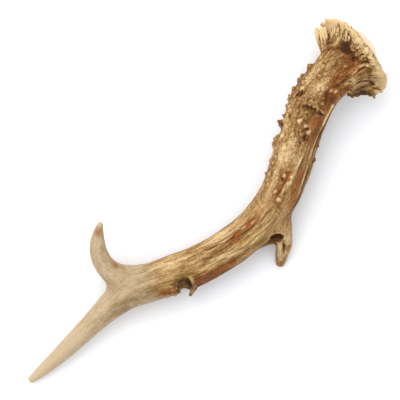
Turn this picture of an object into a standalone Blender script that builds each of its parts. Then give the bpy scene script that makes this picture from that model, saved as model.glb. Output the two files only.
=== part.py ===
"""A shed deer antler lying on a flat surface, at its real size in metres.

+X runs along the antler from the burr to the point of the top tine, +Y towards the outside of its bend,
+Z up. The surface it lies on is z = 0, which it touches with the rim of its burr and the points of its
front tine and top tine, each rubbed slightly flat there. The antler branches at two forks and is split
at them into five solids, each a hair clear of its neighbours.
"""
import math

import bpy
import bmesh
from mathutils import Matrix, Vector

MM = 0.001

# Driving dimensions, in metres.
SPLIT_GAP = 0.3 * MM
FRONT_FORK_X = -19.5 * MM
TOP_FORK_X = 47.0 * MM
RING_SPACING = 4.0 * MM
TINE_RING_SPACING = 2.2 * MM
BEAM_SIDES = 24
TINE_SIDES = 20
WELD = 0.001 * MM

BURR_CENTRE = Vector((-100.3, -8.0, 19.45)) * MM
BURR_RADIUS = 20.2 * MM
BURR_YAW = math.radians(4)
BURR_PITCH = math.radians(17)
BURR_STEPS = 36
TOOTH_COUNT = 26
TOOTH_RADIUS = 2.5 * MM
TOOTH_STRETCH = (1.15, 0.8, 1.45)
TOOTH_INSET = 2.0 * MM
TOOTH_DROP = 0.6 * MM
TOOTH_UNEVENNESS = 0.5 * MM
PEARL_SINK = 0.4 * MM
GROUND_WIDTH = 400 * MM
GROUND_DEPTH = 20 * MM
SHARP_EDGE = math.radians(40)

# Stations along the main stem, from inside the burr to the point of the top tine: x, y, z and radius in mm.
STEM = [
    (-100.0, -8.0, 19.6, 17.6),
    (-96.5, -7.8, 19.6, 15.6),
    (-92.0, -7.7, 19.4, 12.6),
    (-86.0, -7.6, 18.9, 10.8),
    (-75.0, -6.9, 17.8, 10.4),
    (-65.0, -3.8, 16.8, 10.0),
    (-47.0, 5.2, 15.0, 9.8),
    (-28.5, 13.4, 13.4, 9.3),
    (-7.0, 14.9, 12.1, 8.8),
    (18.0, 9.4, 11.6, 9.3),
    (39.0, 0.1, 11.2, 9.1),
    (49.5, -4.7, 10.6, 8.8),
    (58.0, -5.9, 9.6, 6.9),
    (69.0, -6.3, 8.2, 5.4),
    (90.5, -6.9, 5.4, 4.0),
    (104.0, -7.5, 3.2, 2.9),
    (109.3, -8.0, 2.0, 2.2),
    (111.3, -8.2, 1.6, 1.5),
]

# Stations of the two side tines, root first.
REAR_TINE = [
    (47.0, -4.5, 10.6, 8.2),
    (48.6, -12.0, 11.8, 6.7),
    (48.8, -19.0, 13.6, 4.9),
    (47.4, -26.0, 16.0, 3.8),
    (44.4, -31.4, 18.4, 3.1),
    (40.4, -35.0, 20.3, 2.2),
    (38.0, -36.4, 21.3, 1.2),
]
FRONT_TINE = [
    (-22.5, 13.5, 12.6, 8.6),
    (-21.0, 19.5, 11.2, 8.0),
    (-18.4, 25.0, 9.0, 6.3),
    (-15.3, 29.6, 6.4, 4.6),
    (-11.4, 33.3, 3.5, 3.1),
    (-8.8, 35.4, 1.9, 2.3),
    (-7.6, 36.3, 1.5, 1.6),
]

# A tine that stopped growing, on the lower edge of the upper beam.
STUNTED_TINE = [
    (25.5, 9.5, 10.4, 5.0),
    (28.8, 13.0, 9.6, 2.8),
    (31.2, 16.4, 8.8, 1.3),
]

# Larger pearls: distance along the beam from the burr and angle round it, both as seen from the burr,
# and the pearl's own radius. An angle of 0 is +Y and 90 is up.
PEARLS = [
    (20.0, 178, 1.6),
    (26.0, 150, 1.7),
    (31.0, 205, 1.6),
    (36.0, 176, 2.0),
    (39.0, 118, 1.8),
    (43.0, 190, 1.8),
    (46.0, 60, 1.8),
    (49.0, 150, 1.5),
    (52.0, 182, 2.1),
    (54.0, 78, 1.7),
    (60.0, 186, 2.0),
    (63.0, 140, 1.4),
    (67.0, 196, 1.7),
    (70.0, 5, 1.5),
    (78.0, 118, 1.5),
]

# Each solid's colour and roughness: the beam is stained brown, and the tines are worn pale and smoother.
FINISHES = {
    "lower_beam": ((0.50, 0.33, 0.17, 1.0), 0.65),
    "upper_beam": ((0.54, 0.37, 0.20, 1.0), 0.60),
    "front_tine": ((0.50, 0.34, 0.19, 1.0), 0.55),
    "rear_tine": ((0.62, 0.48, 0.31, 1.0), 0.50),
    "top_tine": ((0.70, 0.57, 0.40, 1.0), 0.45),
}


def clear_scene():
    """Removes every object, and collections left by an earlier run."""
    for old in list(bpy.data.objects):
        bpy.data.objects.remove(old)
    for old in list(bpy.data.collections):
        bpy.data.collections.remove(old)


def add_collection(name):
    made = bpy.data.collections.new(name)
    bpy.context.scene.collection.children.link(made)
    return made


def add_material(name, colour, roughness):
    material = bpy.data.materials.new(name)
    material.use_nodes = True
    material.diffuse_color = colour
    shader = material.node_tree.nodes["Principled BSDF"]
    shader.inputs["Base Color"].default_value = colour
    shader.inputs["Roughness"].default_value = roughness
    shader.inputs["Metallic"].default_value = 0.0
    return material


def as_guide(shape):
    """A shape that only cuts or joins another."""
    shape.hide_render = True
    shape.display_type = "WIRE"
    return shape


def smooth_route(stations, spacing):
    """Points about spacing apart on a smooth curve through the stations, as (centre, radius) in metres."""
    knots = [Vector(station) * MM for station in stations]
    centres = [knot.xyz for knot in knots]
    route = []
    for i in range(len(knots) - 1):
        before = knots[max(i - 1, 0)]
        start = knots[i]
        end = knots[i + 1]
        after = knots[min(i + 2, len(knots) - 1)]
        span = (centres[i + 1] - centres[i]).length
        steps = max(1, round(span / spacing))
        lead = span / max((end.xyz - before.xyz).length, WELD) * (end - before)
        trail = span / max((after.xyz - start.xyz).length, WELD) * (after - start)
        for k in range(steps):
            t = k / steps
            blend = (
                start * (2 * t**3 - 3 * t**2 + 1)
                + lead * (t**3 - 2 * t**2 + t)
                + end * (3 * t**2 - 2 * t**3)
                + trail * (t**3 - t**2)
            )
            route.append((blend.xyz, blend.w))
    route.append((knots[-1].xyz, knots[-1].w))
    return route


def cut_route(route, low_x, high_x):
    """The stretch of a route between two values of x, with a point exactly on each."""
    kept = []
    for (centre, radius), (following, next_radius) in zip(route, route[1:]):
        if low_x <= centre.x <= high_x:
            kept.append((centre, radius))
        for limit in (low_x, high_x):
            if min(centre.x, following.x) < limit < max(centre.x, following.x):
                t = (limit - centre.x) / (following.x - centre.x)
                kept.append((centre.lerp(following, t), radius + t * (next_radius - radius)))
    last, last_radius = route[-1]
    if low_x <= last.x <= high_x:
        kept.append((last, last_radius))
    return kept


def add_tube(name, route, sides, collection, grow=0.0):
    """A round tube along a route, as a closed mesh. It is grow thicker all round."""
    curve = bpy.data.curves.new(name, "CURVE")
    curve.dimensions = "3D"
    curve.bevel_depth = MM
    curve.bevel_resolution = sides // 2 - 2
    curve.use_fill_caps = True
    spline = curve.splines.new("POLY")
    spline.points.add(len(route) - 1)
    for point, (centre, radius) in zip(spline.points, route):
        point.co = (*centre, 1.0)
        point.radius = (radius + grow) / MM
    draft = bpy.data.objects.new(name + "_curve", curve)
    collection.objects.link(draft)
    depsgraph = bpy.context.evaluated_depsgraph_get()
    mesh = bpy.data.meshes.new_from_object(draft.evaluated_get(depsgraph))
    mesh.name = name
    build = bmesh.new()
    build.from_mesh(mesh)
    bmesh.ops.remove_doubles(build, verts=build.verts, dist=WELD)
    build.to_mesh(mesh)
    build.free()
    tube = bpy.data.objects.new(name, mesh)
    tube.matrix_world = draft.matrix_world
    collection.objects.link(tube)
    bpy.data.objects.remove(draft)
    return tube


def add_boolean(target, operation, guide):
    change = target.modifiers.new(guide.name, "BOOLEAN")
    change.operation = operation
    change.object = guide
    change.solver = "EXACT"
    change.use_self = operation == "UNION"


def burr_frame():
    """The burr's own axes: its Z points out of the antler, away from the beam."""
    outward = Matrix.Rotation(-math.pi / 2, 4, "Y")
    pitch = Matrix.Rotation(-BURR_PITCH, 4, "Y")
    yaw = Matrix.Rotation(-BURR_YAW, 4, "Z")
    return Matrix.Translation(BURR_CENTRE) @ yaw @ pitch @ outward


def add_burr(collection):
    """The burr's disc: a domed seal on its outer face, a rolled rim and a back that runs into the beam."""
    profile_mm = [
        (0.0, 10.6),
        (5.5, 10.0),
        (10.0, 8.0),
        (13.5, 4.9),
        (15.5, 2.4),
        (17.0, 1.9),
        (19.0, 1.6),
        (20.2, 0.4),
        (20.0, -1.4),
        (18.6, -3.2),
        (16.6, -4.6),
        (0.0, -6.5),
    ]
    widest = max(radius for radius, _ in profile_mm)
    scale = BURR_RADIUS / widest
    mesh = bpy.data.meshes.new("burr_disc")
    points = [(radius * scale, 0.0, height * MM) for radius, height in profile_mm]
    edges = [(i, i + 1) for i in range(len(points) - 1)]
    mesh.from_pydata(points, edges, [])
    disc = bpy.data.objects.new("burr_disc", mesh)
    disc.matrix_world = burr_frame()
    collection.objects.link(disc)
    turn = disc.modifiers.new("Turn", "SCREW")
    turn.axis = "Z"
    turn.steps = BURR_STEPS
    turn.render_steps = BURR_STEPS
    turn.use_merge_vertices = True
    turn.merge_threshold = WELD
    return as_guide(disc)


def add_teeth(collection):
    """The ring of blunt teeth round the burr's rim."""
    build = bmesh.new()
    frame = burr_frame()
    for k in range(TOOTH_COUNT):
        round_the_rim = Matrix.Rotation(2 * math.pi * k / TOOTH_COUNT, 4, "Z")
        reach = BURR_RADIUS - TOOTH_INSET + TOOTH_UNEVENNESS * math.sin(2.4 * k)
        place = Matrix.Translation((reach, 0.0, -TOOTH_DROP))
        stretch = Matrix.Diagonal((*TOOTH_STRETCH, 1.0))
        bmesh.ops.create_icosphere(
            build,
            subdivisions=1,
            radius=TOOTH_RADIUS,
            matrix=frame @ round_the_rim @ place @ stretch,
        )
    mesh = bpy.data.meshes.new("burr_teeth")
    build.to_mesh(mesh)
    build.free()
    teeth = bpy.data.objects.new("burr_teeth", mesh)
    collection.objects.link(teeth)
    return as_guide(teeth)


def add_pearls(route, collection):
    """The larger pearls, half sunk in the beam."""
    build = bmesh.new()
    for distance_mm, angle_deg, radius_mm in PEARLS:
        along = distance_mm * MM
        for (centre, radius), (following, next_radius) in zip(route, route[1:]):
            step = (following - centre).length
            if along <= step:
                break
            along -= step
        heading = (following - centre).normalized()
        side = Vector((0.0, 0.0, 1.0)).cross(heading).normalized()
        up = heading.cross(side)
        angle = math.radians(angle_deg)
        outward = side * math.cos(angle) + up * math.sin(angle)
        middle = centre + heading * along + outward * (radius - PEARL_SINK)
        bmesh.ops.create_icosphere(
            build, subdivisions=1, radius=radius_mm * MM, matrix=Matrix.Translation(middle)
        )
    mesh = bpy.data.meshes.new("beam_pearls")
    build.to_mesh(mesh)
    build.free()
    pearls = bpy.data.objects.new("beam_pearls", mesh)
    collection.objects.link(pearls)
    return as_guide(pearls)


def add_ground(collection):
    """The space under the surface that the antler lies on."""
    bpy.ops.mesh.primitive_cube_add(size=1.0)
    ground = bpy.context.active_object
    ground.name = "ground"
    ground.data.name = "ground"
    ground.data.transform(Matrix.Diagonal((GROUND_WIDTH, GROUND_WIDTH, GROUND_DEPTH, 1.0)))
    ground.location.z = -GROUND_DEPTH / 2
    for home in list(ground.users_collection):
        home.objects.unlink(ground)
    collection.objects.link(ground)
    return as_guide(ground)


def finish(piece):
    colour, roughness = FINISHES[piece.name]
    piece.data.materials.append(add_material(piece.name + "_bone", colour, roughness))
    piece.data.shade_smooth()
    piece.data.set_sharp_from_angle(angle=SHARP_EDGE)


def build_antler():
    clear_scene()
    antler = add_collection("deer_antler")
    guides = add_collection("guides")

    stem = smooth_route(STEM, RING_SPACING)
    half_gap = SPLIT_GAP / 2
    start_x = stem[0][0].x
    end_x = stem[-1][0].x
    lower_route = cut_route(stem, start_x, FRONT_FORK_X - half_gap)
    upper_route = cut_route(stem, FRONT_FORK_X + half_gap, TOP_FORK_X - half_gap)
    top_route = cut_route(stem, TOP_FORK_X + half_gap, end_x)

    lower_beam = add_tube("lower_beam", lower_route, BEAM_SIDES, antler)
    upper_beam = add_tube("upper_beam", upper_route, BEAM_SIDES, antler)
    top_tine = add_tube("top_tine", top_route, BEAM_SIDES, antler)
    front_tine = add_tube("front_tine", smooth_route(FRONT_TINE, TINE_RING_SPACING), TINE_SIDES, antler)
    rear_tine = add_tube("rear_tine", smooth_route(REAR_TINE, TINE_RING_SPACING), TINE_SIDES, antler)

    stem_clearance = as_guide(add_tube("stem_clearance", stem, BEAM_SIDES, guides, grow=SPLIT_GAP))
    stunted_route = smooth_route(STUNTED_TINE, TINE_RING_SPACING)
    stunted_tine = as_guide(add_tube("stunted_tine", stunted_route, TINE_SIDES // 2, guides))
    ground = add_ground(guides)

    add_boolean(lower_beam, "UNION", add_burr(guides))
    add_boolean(lower_beam, "UNION", add_teeth(guides))
    add_boolean(lower_beam, "UNION", add_pearls(stem, guides))
    add_boolean(lower_beam, "DIFFERENCE", ground)
    add_boolean(upper_beam, "UNION", stunted_tine)
    add_boolean(top_tine, "DIFFERENCE", ground)
    add_boolean(front_tine, "DIFFERENCE", stem_clearance)
    add_boolean(front_tine, "DIFFERENCE", ground)
    add_boolean(rear_tine, "DIFFERENCE", stem_clearance)

    for piece in (lower_beam, upper_beam, front_tine, rear_tine, top_tine):
        finish(piece)


build_antler()
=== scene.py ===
"""The looks of a shed deer antler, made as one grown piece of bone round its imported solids."""
import math
import random

import bpy
import numpy as np
from bpy.props import FloatProperty, FloatVectorProperty, IntProperty, PointerProperty
from mathutils import Matrix, Vector, kdtree, noise


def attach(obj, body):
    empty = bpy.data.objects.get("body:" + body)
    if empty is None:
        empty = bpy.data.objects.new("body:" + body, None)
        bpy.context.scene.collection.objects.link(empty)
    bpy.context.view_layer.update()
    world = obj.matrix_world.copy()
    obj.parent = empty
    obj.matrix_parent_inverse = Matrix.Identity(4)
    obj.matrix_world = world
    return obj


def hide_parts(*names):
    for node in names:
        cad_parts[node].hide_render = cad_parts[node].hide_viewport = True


bl_info = {
    "name": "Deer Antler",
    "version": (1, 0, 0),
    "blender": (4, 5, 0),
    "location": "3D View > Sidebar > Antler",
    "description": "Grows a shed deer antler and lights it on a pale surface",
    "category": "Add Mesh",
}

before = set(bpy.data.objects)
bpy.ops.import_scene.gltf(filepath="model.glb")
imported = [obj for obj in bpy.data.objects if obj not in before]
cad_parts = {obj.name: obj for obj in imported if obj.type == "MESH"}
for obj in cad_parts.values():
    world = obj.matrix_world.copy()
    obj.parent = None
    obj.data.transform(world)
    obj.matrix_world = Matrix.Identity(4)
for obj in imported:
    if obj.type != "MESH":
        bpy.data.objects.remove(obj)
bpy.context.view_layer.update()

# The shape is worked out in millimetres and scaled to metres at the end. Angles round a limb count from
# its +Y side: 0 faces the outside of the bend, 90 faces up and 180 faces the inside of the bend.
MM = 0.001

# ---- The antler's lines: x, y, z and radius ----

STEM = [
    (-100, -8, 19.6, 12.6), (-96.5, -8.1, 19.6, 12.4), (-92, -8.7, 19.4, 11.5), (-86, -8.9, 18.9, 10.2),
    (-75, -7.5, 17.8, 10.1), (-65, -3.9, 16.8, 9.8), (-47, 5, 15, 9.3), (-28.5, 13.5, 13.4, 9.4),
    (-7, 15.1, 12.1, 8.8), (18, 9.7, 11.6, 9.1), (39, 0, 11.2, 9.1), (49.5, -4.7, 10.6, 8.4),
    (58, -5.7, 9.6, 6.9), (69, -6, 8.2, 5.4), (90.5, -6.3, 5.4, 4), (104, -7, 3.2, 2.8),
    (110.4, -7.6, 1.9, 1.9), (112.6, -7.9, 1.5, 1.4),
]
REAR_TINE = [
    (47, -4.5, 10.6, 8.2), (48.6, -12, 11.8, 6.9), (49.4, -19.4, 13.6, 5), (47.4, -26.5, 16, 4.25),
    (43.4, -31.3, 18.4, 3.35), (39, -34.6, 20.3, 2), (36.3, -36.1, 21.4, 1.2),
]
FRONT_TINE = [
    (-22.5, 13.5, 12.6, 8.6), (-21, 19.5, 11.2, 8), (-18.6, 25.4, 9, 5.9), (-16.1, 30.5, 6.4, 3.9),
    (-11.6, 33.7, 3.5, 3), (-8.6, 35.7, 1.9, 2.3), (-7.3, 36.6, 1.5, 1.6),
]

# Where the limbs meet: x, y, z and how far the rounding spreads.
FORKS = [
    (53, -12.5, 11, 9), (38, -12, 12, 15), (-27, 20, 12, 9), (-5, 24, 9, 9),
]

BURR_CENTRE = Vector((-100.3, -8.0, 19.45))
BURR_YAW = math.radians(4)
BURR_PITCH = math.radians(17)
FOOT_RADIUS = 12.0
# The flare's length from foot to rim and its middle radius, for patterns laid on it.
FLARE_LENGTH = 12.0
FLARE_RADIUS = 16.0
# The burr's sides and the places of its rings, from the rim down to the foot, and the ring that closes it
# inside the beam: its share of the foot's radius and how far below the foot it lies.
BURR_SIDES = 120
FLARE_RINGS = (0.96, 0.9, 0.8, 0.66, 0.5, 0.35, 0.2, 0.08, 0.0)
ROOT_SHARE = 0.6
ROOT_DEPTH = 3.0
# How many knobs crowd the upper rim, and how many stand round the seal.
RIM_KNOBS = 120
SEAL_KNOBS = 130
SEED = 7
# The grids that fuse the cutters and the bare limbs, in mm, each limb's number of sides, and how many rows
# of its centre line lie between two rings.
CUTTER_VOXEL = 0.4
LIMB_VOXEL = 0.7
LIMB_SIDES = (40, 28, 28)
LIMB_STEP = 4
# A finger's rows are this far apart, its caps reach out by a share of its radius and keep a share of its
# last ring, and its sides are counted from a direction that no finger points in.
FINGER_SPACING = 0.6
CAP_REACH = 0.6
CAP_SHARE = 0.62
FINGER_SIDE = (0.31, -0.42, 0.85)
# How lumpy a pebble is, and the size of its lumps against its own.
PEBBLE_LUMPS = 0.4
PEBBLE_LUMP_SCALE = 1.1
# How strongly a fork is rounded, and from which share of its spread on less and less.
FORK_ROUNDING = 0.95
FORK_FADE = (0.4, 1.0)
# How often the fused skin and the worn lobe are smoothed, how strongly the skin is, and how often for the
# three measures of a hollow.
SKIN_ROUNDS = 3
SKIN_SHARE = 0.5
WORN_ROUNDS = 60
HOLLOW_ROUNDS = (3, 12, 40)
PLEAT_DEPTH = 0.5
PLEAT_EDGE = (0.02, 0.17)
# Where the flare can be grooved: mm from the burr's axis, and below this height on it.
GROOVED_SPOKE = (11.0, 20.0)
GROOVED_BELOW = -0.5
# Where the beam can be grooved: up to this depth in radii and this share of a tine.
GROOVED_DEPTH = 1.7
GROOVED_TINE = 0.7
# How far the patterns of the burr and the front tine are taken from where the beam's begin, so that they
# don't repeat it.
BURR_GRAIN_SHIFT = 300.0
FRONT_GRAIN_SHIFT = 40.0
# Where one thing gives way to another: the values at which the change begins and ends. The beam's depth
# against a tine's, mm from the burr's axis, mm out along it, and mm or degrees on the beam.
TINE_FADE = (0.32, 0.68)
SEAL_FADE = (16.8, 19.6)
SEAL_RISE = (0.2, 1.8)
WORN_FADE = (-1.5, 0.0)
PLEAT_FADE = (-0.5, 1.5)
FLARE_FADE = (13.2, 15.5)
RIM_FADE = (-3.5, -1.5)
ROUGH_END = (146, 172)
PEARLS_END = (46, 80)
FLANK_START = (12, 30)
FLANK_BOTTOM = (-30, 10)
FLANK_TOP = (60, 95)
TIP_FADE = (160, 232)
CREAM_FADE = (127, 170)
# Along the beam's lower edge the cream begins this much later: mm, middle angle and spread in degrees.
CREAM_DELAY = 16
CREAM_DELAY_ANGLE = 20
CREAM_DELAY_SPREAD = 45
# How cream the rear and the front tine are.
REAR_CREAM = 1.0
FRONT_CREAM = 0.12
# How far along the beam the flare reaches on its +Y side and elsewhere, and how softly it ends.
FLARE_OUTER_SIDE = (60, 240)
FLARE_OUTER_END = 18.0
FLARE_END = 11.5
FLARE_SOFTNESS = 2.5
# How the flare curves: its radius grows slowly at first and its height slowly at last.
FLARE_WIDENING = 1.7
FLARE_RISING = 1.6
# Noises in the relief: size of a lump along, round and across in mm, and a shift that sets it apart.
WARP = ((7.0, 4.0, 4.0), 5.1)
LUMP = ((9.0, 5.5, 5.5), 41.7)
FURROW = ((24.0, 3.4, 3.4), 3.7)
RIPPLE = ((9.0, 1.6, 1.6), 11.3)
FIBRE = ((3.2, 0.9, 0.9), 23.1)
GRIT = ((1.1, 0.75, 0.75), 31.9)
PLEAT = ((14.0, 1.15, 1.0), 17.3)

# Going round the rim from the top towards +Y: angle, the rim's radius, how far it reaches out along the
# burr's axis, and where on the axis the flare's foot lies.
BURR_RIM = [
    (0, 20, -2.3, -5.5), (20, 19.9, -2.4, -7.5), (43, 19.9, -2.3, -11.5), (74, 20.2, -0.4, -12),
    (84, 21.5, -1, -12), (92, 21.5, -1.8, -12), (103, 19.9, -3.8, -12.5), (113, 17.9, -6.8, -13.5),
    (124, 16.8, -9.6, -15), (145, 17.8, -9.8, -15), (165, 19.2, -5, -13), (185, 19.8, -1, -11),
    (225, 20.4, -0.6, -10), (270, 20.7, -1.6, -10.5), (304, 20.9, -1, -8), (323, 20.6, -0.9, -6.2),
    (340, 20.1, -1.1, -5), (352, 20, -2, -5),
]
# The seal's side view: part of the rim's radius, height along the axis, and how much of the rim's own
# reach it follows.
SEAL_PROFILE = [
    (0.04, 8.6, 0), (0.16, 8.4, 0), (0.29, 7.6, 0), (0.42, 6.2, 0), (0.54, 4.7, 0.1), (0.65, 3.5, 0.3),
    (0.76, 2.8, 0.5), (0.86, 2.4, 0.8), (0.93, 1.6, 1), (0.965, 0.6, 1),
]
# How far the dome's middle is shifted from the burr's axis, and over which parts the shift fades out.
SEAL_SHIFT = 1.5
SEAL_SHIFT_FADE = (0.3, 0.9)
SEAL_PARTS, SEAL_HEIGHTS, SEAL_FOLLOWS = zip(*SEAL_PROFILE)

# How the flare is folded, going round: first and last angle, number of folds, a fold's radius, where it
# starts and ends on the way from foot to rim, and how far it stands out.
FOLDS = [
    (246, 340, 16, 0.8, 0.1, 0.72, -0.15), (38, 96, 5, 2.8, 0.35, 0.96, -2.4),
    (160, 246, 30, 0.8, 0.05, 0.98, 0.15),
]
# Where narrow gaps are pressed between the folds: angle, place from foot (0) to rim (1), half angle, half
# length, strength.
PLEATED = [
    (290, 0.5, 38, 0.3, 1), (350, 0.7, 30, 0.45, 0.7), (122, 0.8, 12, 0.5, 0.5), (175, 0.6, 50, 0.6, 0.9),
    (232, 0.6, 30, 0.6, 0.9),
]
# The teeth that hang under the burr's outer side: angle, the tip's x, y and z, and radius.
HANGING_TEETH = [
    (94, (-97, 12.8, 18.5), 1.1),
    (99, (-94.8, 12, 17), 1),
    (104, (-92.6, 12.3, 16), 1.3),
    (107.5, (-92.1, 9.6, 15), 1.1),
    (111, (-90.9, 7.8, 14), 1.1),
    (114.5, (-89.8, 6.4, 13.5), 1.1),
    (119, (-87.7, 5.9, 12), 1.3),
    (124, (-86, 4.7, 11), 1.3),
    (130, (-85.4, 2.9, 9.6), 1.2),
    (137, (-86, 1, 8), 1.1),
    (144, (-86.4, -0.8, 6.6), 1.1),
    (151, (-87.2, -2.8, 5.4), 1.1),
]
# The teeth at the burr's left end, which stand a little apart from the rim.
LEFT_TEETH = [
    [
        (-90.6, -17.6, 18.5, 1.9), (-92.4, -21.6, 19, 1.7), (-94.4, -26.2, 19.6, 1.2),
        (-96.2, -29.8, 20, 0.5),
    ],
    [
        (-91.5, -17.2, 19.9, 0.7), (-93.3, -21.2, 20.4, 0.7), (-95.1, -25.6, 20.8, 0.6),
        (-96.5, -29, 20.6, 0.4),
    ],
    [
        (-90.4, -17.7, 20.5, 0.7), (-92.2, -21.7, 20.9, 0.7), (-94.2, -26.3, 21, 0.6),
        (-96.2, -29.9, 20.4, 0.4),
    ],
    [
        (-89.4, -18.1, 19.6, 0.7), (-91.2, -22.1, 20, 0.6), (-93.3, -26.6, 20.4, 0.5),
        (-95.2, -29.4, 20.2, 0.3),
    ],
    [(-91.6, -17.2, 21.5, 2), (-94, -21.4, 22, 1.8), (-96.4, -25, 22.4, 1.3), (-98.4, -27.2, 22.8, 0.6)],
    [
        (-92.6, -16.5, 23, 0.7), (-95, -20.7, 23.6, 0.7), (-97.4, -24.3, 23.8, 0.6),
        (-99.2, -26.6, 23.6, 0.4),
    ],
    [(-91.6, -17.2, 23.6, 0.7), (-94, -21.4, 24, 0.7), (-96.4, -25, 24, 0.6), (-98.2, -27.4, 23.6, 0.4)],
    [
        (-90.5, -17.9, 22.6, 0.7), (-92.9, -22.1, 23, 0.7), (-95.3, -25.7, 23.2, 0.5),
        (-97.4, -28.2, 23.2, 0.3),
    ],
    [
        (-91.7, -18.2, 14.5, 2.2), (-93.7, -22.7, 14, 1.9), (-95.7, -26.7, 13.6, 1.3),
        (-97, -29, 13.2, 0.5),
    ],
    [(-93.2, -17.2, 10.5, 2), (-95.2, -21.2, 9, 1.7), (-97, -24.5, 8.2, 1.1), (-97.8, -26.3, 7.8, 0.5)],
]
# Where a tine stopped growing: the thin edge of the hook, its body, its tip, and the two parts of the lip.
STUNTED_TINE = [
    [(25.2, 9.2, 20.2, 0.5), (25.6, 12.2, 18.5, 0.7), (26.6, 15, 15.2, 0.8), (28.8, 15.9, 13, 0.8)],
    [(24.8, 12.8, 12, 2.6), (26.8, 14.6, 10.4, 2), (28.6, 15.6, 10, 1.5)],
    [(28, 15.6, 12.6, 1), (29.8, 16.2, 11.6, 1), (31.4, 16.6, 10.4, 0.7)],
    [
        (34.8, 6, 19.4, 0.6), (34, 7.9, 18.6, 0.8), (34.5, 9.8, 16.4, 0.9), (35.6, 11.2, 13, 1),
        (36.1, 11.7, 9.6, 0.9),
    ],
    [(38.2, 7.2, 16, 1.4), (37.2, 9.2, 13.4, 1.5), (37, 10, 10.4, 1.3)],
    [(42.4, 5.6, 11, 2), (39.8, 7.3, 11, 2.3), (37.6, 8.9, 11, 2.2)],
]
# Folds fused with the limbs: the rim that runs from the beam on to the front tine, the web below it, and
# the web inside the top fork.
LIMB_FOLDS = [
    [
        (2, 18.6, 15.8, 0.9), (-5, 20.2, 15.9, 1.2), (-11, 21.3, 15.6, 1.3), (-15.3, 22.9, 15.2, 1.4),
        (-18.6, 25, 14.2, 2), (-19.8, 28, 11.6, 2.2),
    ],
    [(-5, 19.5, 8, 4.2), (-10.5, 21.9, 8, 4.2), (-14.6, 23.6, 7.6, 4.2)],
    [(49, -17, 13, 4.9), (46.3, -12.3, 11.8, 5.1), (40.3, -6.1, 11.4, 5.2), (32, -0.3, 11.5, 5.5)],
]
# The fold along the front tine's inner side.
FRONT_TINE_FOLD = [
    [
        (-16.3, 26.3, 12, 1.1), (-15.4, 27.6, 12.2, 1.4), (-14.5, 29.2, 11.4, 1.6),
        (-12.7, 31.4, 8.6, 1.8), (-10.2, 34.2, 5, 1.7), (-8.4, 35.9, 2.6, 1.4),
    ],
]
# What is cut away: the front tine's crevice, x and y at four heights with their radii, and the stunted
# tine's notch.
CREVICE = [
    (-13.8, 24.4), (-15.2, 24.8), (-17, 25.9), (-17.6, 27.6),
]
CREVICE_LEVELS = [
    (17.5, 1.2), (15.6, 1.3), (14, 1.2), (12.8, 1),
]
NOTCH = [
    [(26.8, 10.4, 19.6, 1.1), (28.2, 12.1, 16.6, 2), (30.8, 13.1, 12.4, 2.1), (32.5, 13.7, 8, 2.1)],
    [(32.5, 13.7, 8, 2.1), (33.1, 14.3, 2, 2.4)],
    [(27.8, 10.2, 19.6, 1.4), (29.8, 11.4, 17, 2.1), (32, 12.4, 12.6, 2.2)],
    [(28.9, 9.6, 19.6, 1.4), (30.9, 10.1, 18.2, 1.9), (32.6, 11.2, 15.8, 1.9), (33.4, 12.8, 12, 1.7)],
]
# Ridges that run from the flare down on to the beam. On the flare a point gives the angle round the burr and
# the place between foot and rim, on the beam the distance and angle; then come its height and radius.
FLARE_RIDGES = [
    (
        [(28, 0.72, -0.6, 0.9), (27, 0.45, -0.4, 1), (26, 0.18, -0.3, 1)],
        [(5, 70, -0.5, 1), (8, 66, -0.5, 0.9), (11.2, 64, -0.5, 0.8), (15, 64, -0.9, 0.7)],
    ),
    (
        [(38, 0.34, -0.4, 0.6), (36, 0.12, -0.3, 0.7)],
        [(8, 53, -0.4, 0.7), (11.9, 45, -0.4, 0.7), (13.6, 42, -0.5, 0.6), (17, 39, -0.9, 0.6)],
    ),
]
# Grooves pressed into the flare: points of angle and place from foot to rim, half width and depth.
FLARE_PRESSED = [
    ([(30, 0.46), (32, 0.22), (34, 0)], 0.6, 0.45),
    ([(22, 0.7), (20, 0.4)], 0.7, 0.6),
    ([(62, 0.1), (66, 0.24), (73, 0.44), (84, 0.56)], 0.9, 0.8),
]

# Pointed pearls that break the outline: distance along the stem, angle round it, length and radius.
SPIKES = [
    (17, 180, 1.3, 1.8), (18.4, 176, 0.9, 1.2), (21.9, 181, 1.1, 1.1), (23.8, 178, 1, 1.2),
    (27.3, 180, 1.5, 1.5), (28.6, 176, 0.9, 1.3), (30.6, 180, 1.5, 1.4), (32.2, 183, 1.2, 1.2),
    (34.6, 178, 0.9, 1.6), (39.4, 179, 1.1, 1.2), (42.2, 180, 2.2, 1.9), (43.6, 176, 1.4, 1.6),
    (48.6, 180, 0.7, 1.6), (50.4, 180, 1.2, 1.7), (52.4, 180, 1.2, 1.6), (54, 176, 0.8, 1.4),
    (60.4, 179, 0.4, 1.2), (67, 179, 0.6, 0.9), (47, 14, 0.8, 1.2), (53.8, 6, 0.6, 1.5),
    (62.4, 14, 0.5, 0.8),
]
# Pale flakes of bone on top of the beam: distance, angle, radius, how long for its width.
FLAKES = [
    (19.5, 65, 0.95, 1.7), (18.2, 54, 0.95, 1.7), (21.1, 86, 0.6, 1.1), (6.7, 84, 0.6, 1.1),
    (25.8, 134, 1, 1.7), (31.2, 53, 0.8, 1), (25.8, 33, 0.9, 1.2), (38.6, 106, 0.9, 1.5),
    (40, 85, 1.1, 1.2), (42, 73, 1.3, 1.2), (48, 146, 0.9, 1.3), (52.9, 123, 1.2, 1), (60.6, 150, 0.9, 1),
    (64.4, 128, 0.8, 1.1), (64.8, 98, 0.9, 1.2), (64.3, 78, 0.7, 1.5), (68, 83, 0.8, 1.5),
    (66.8, 76, 0.6, 1.2), (73.4, 106, 1.2, 1.2), (75.8, 87, 1.5, 1),
]
# A flake's pale patch is this much wider than the flake.
FLAKE_SPREAD = 1.1
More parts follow.
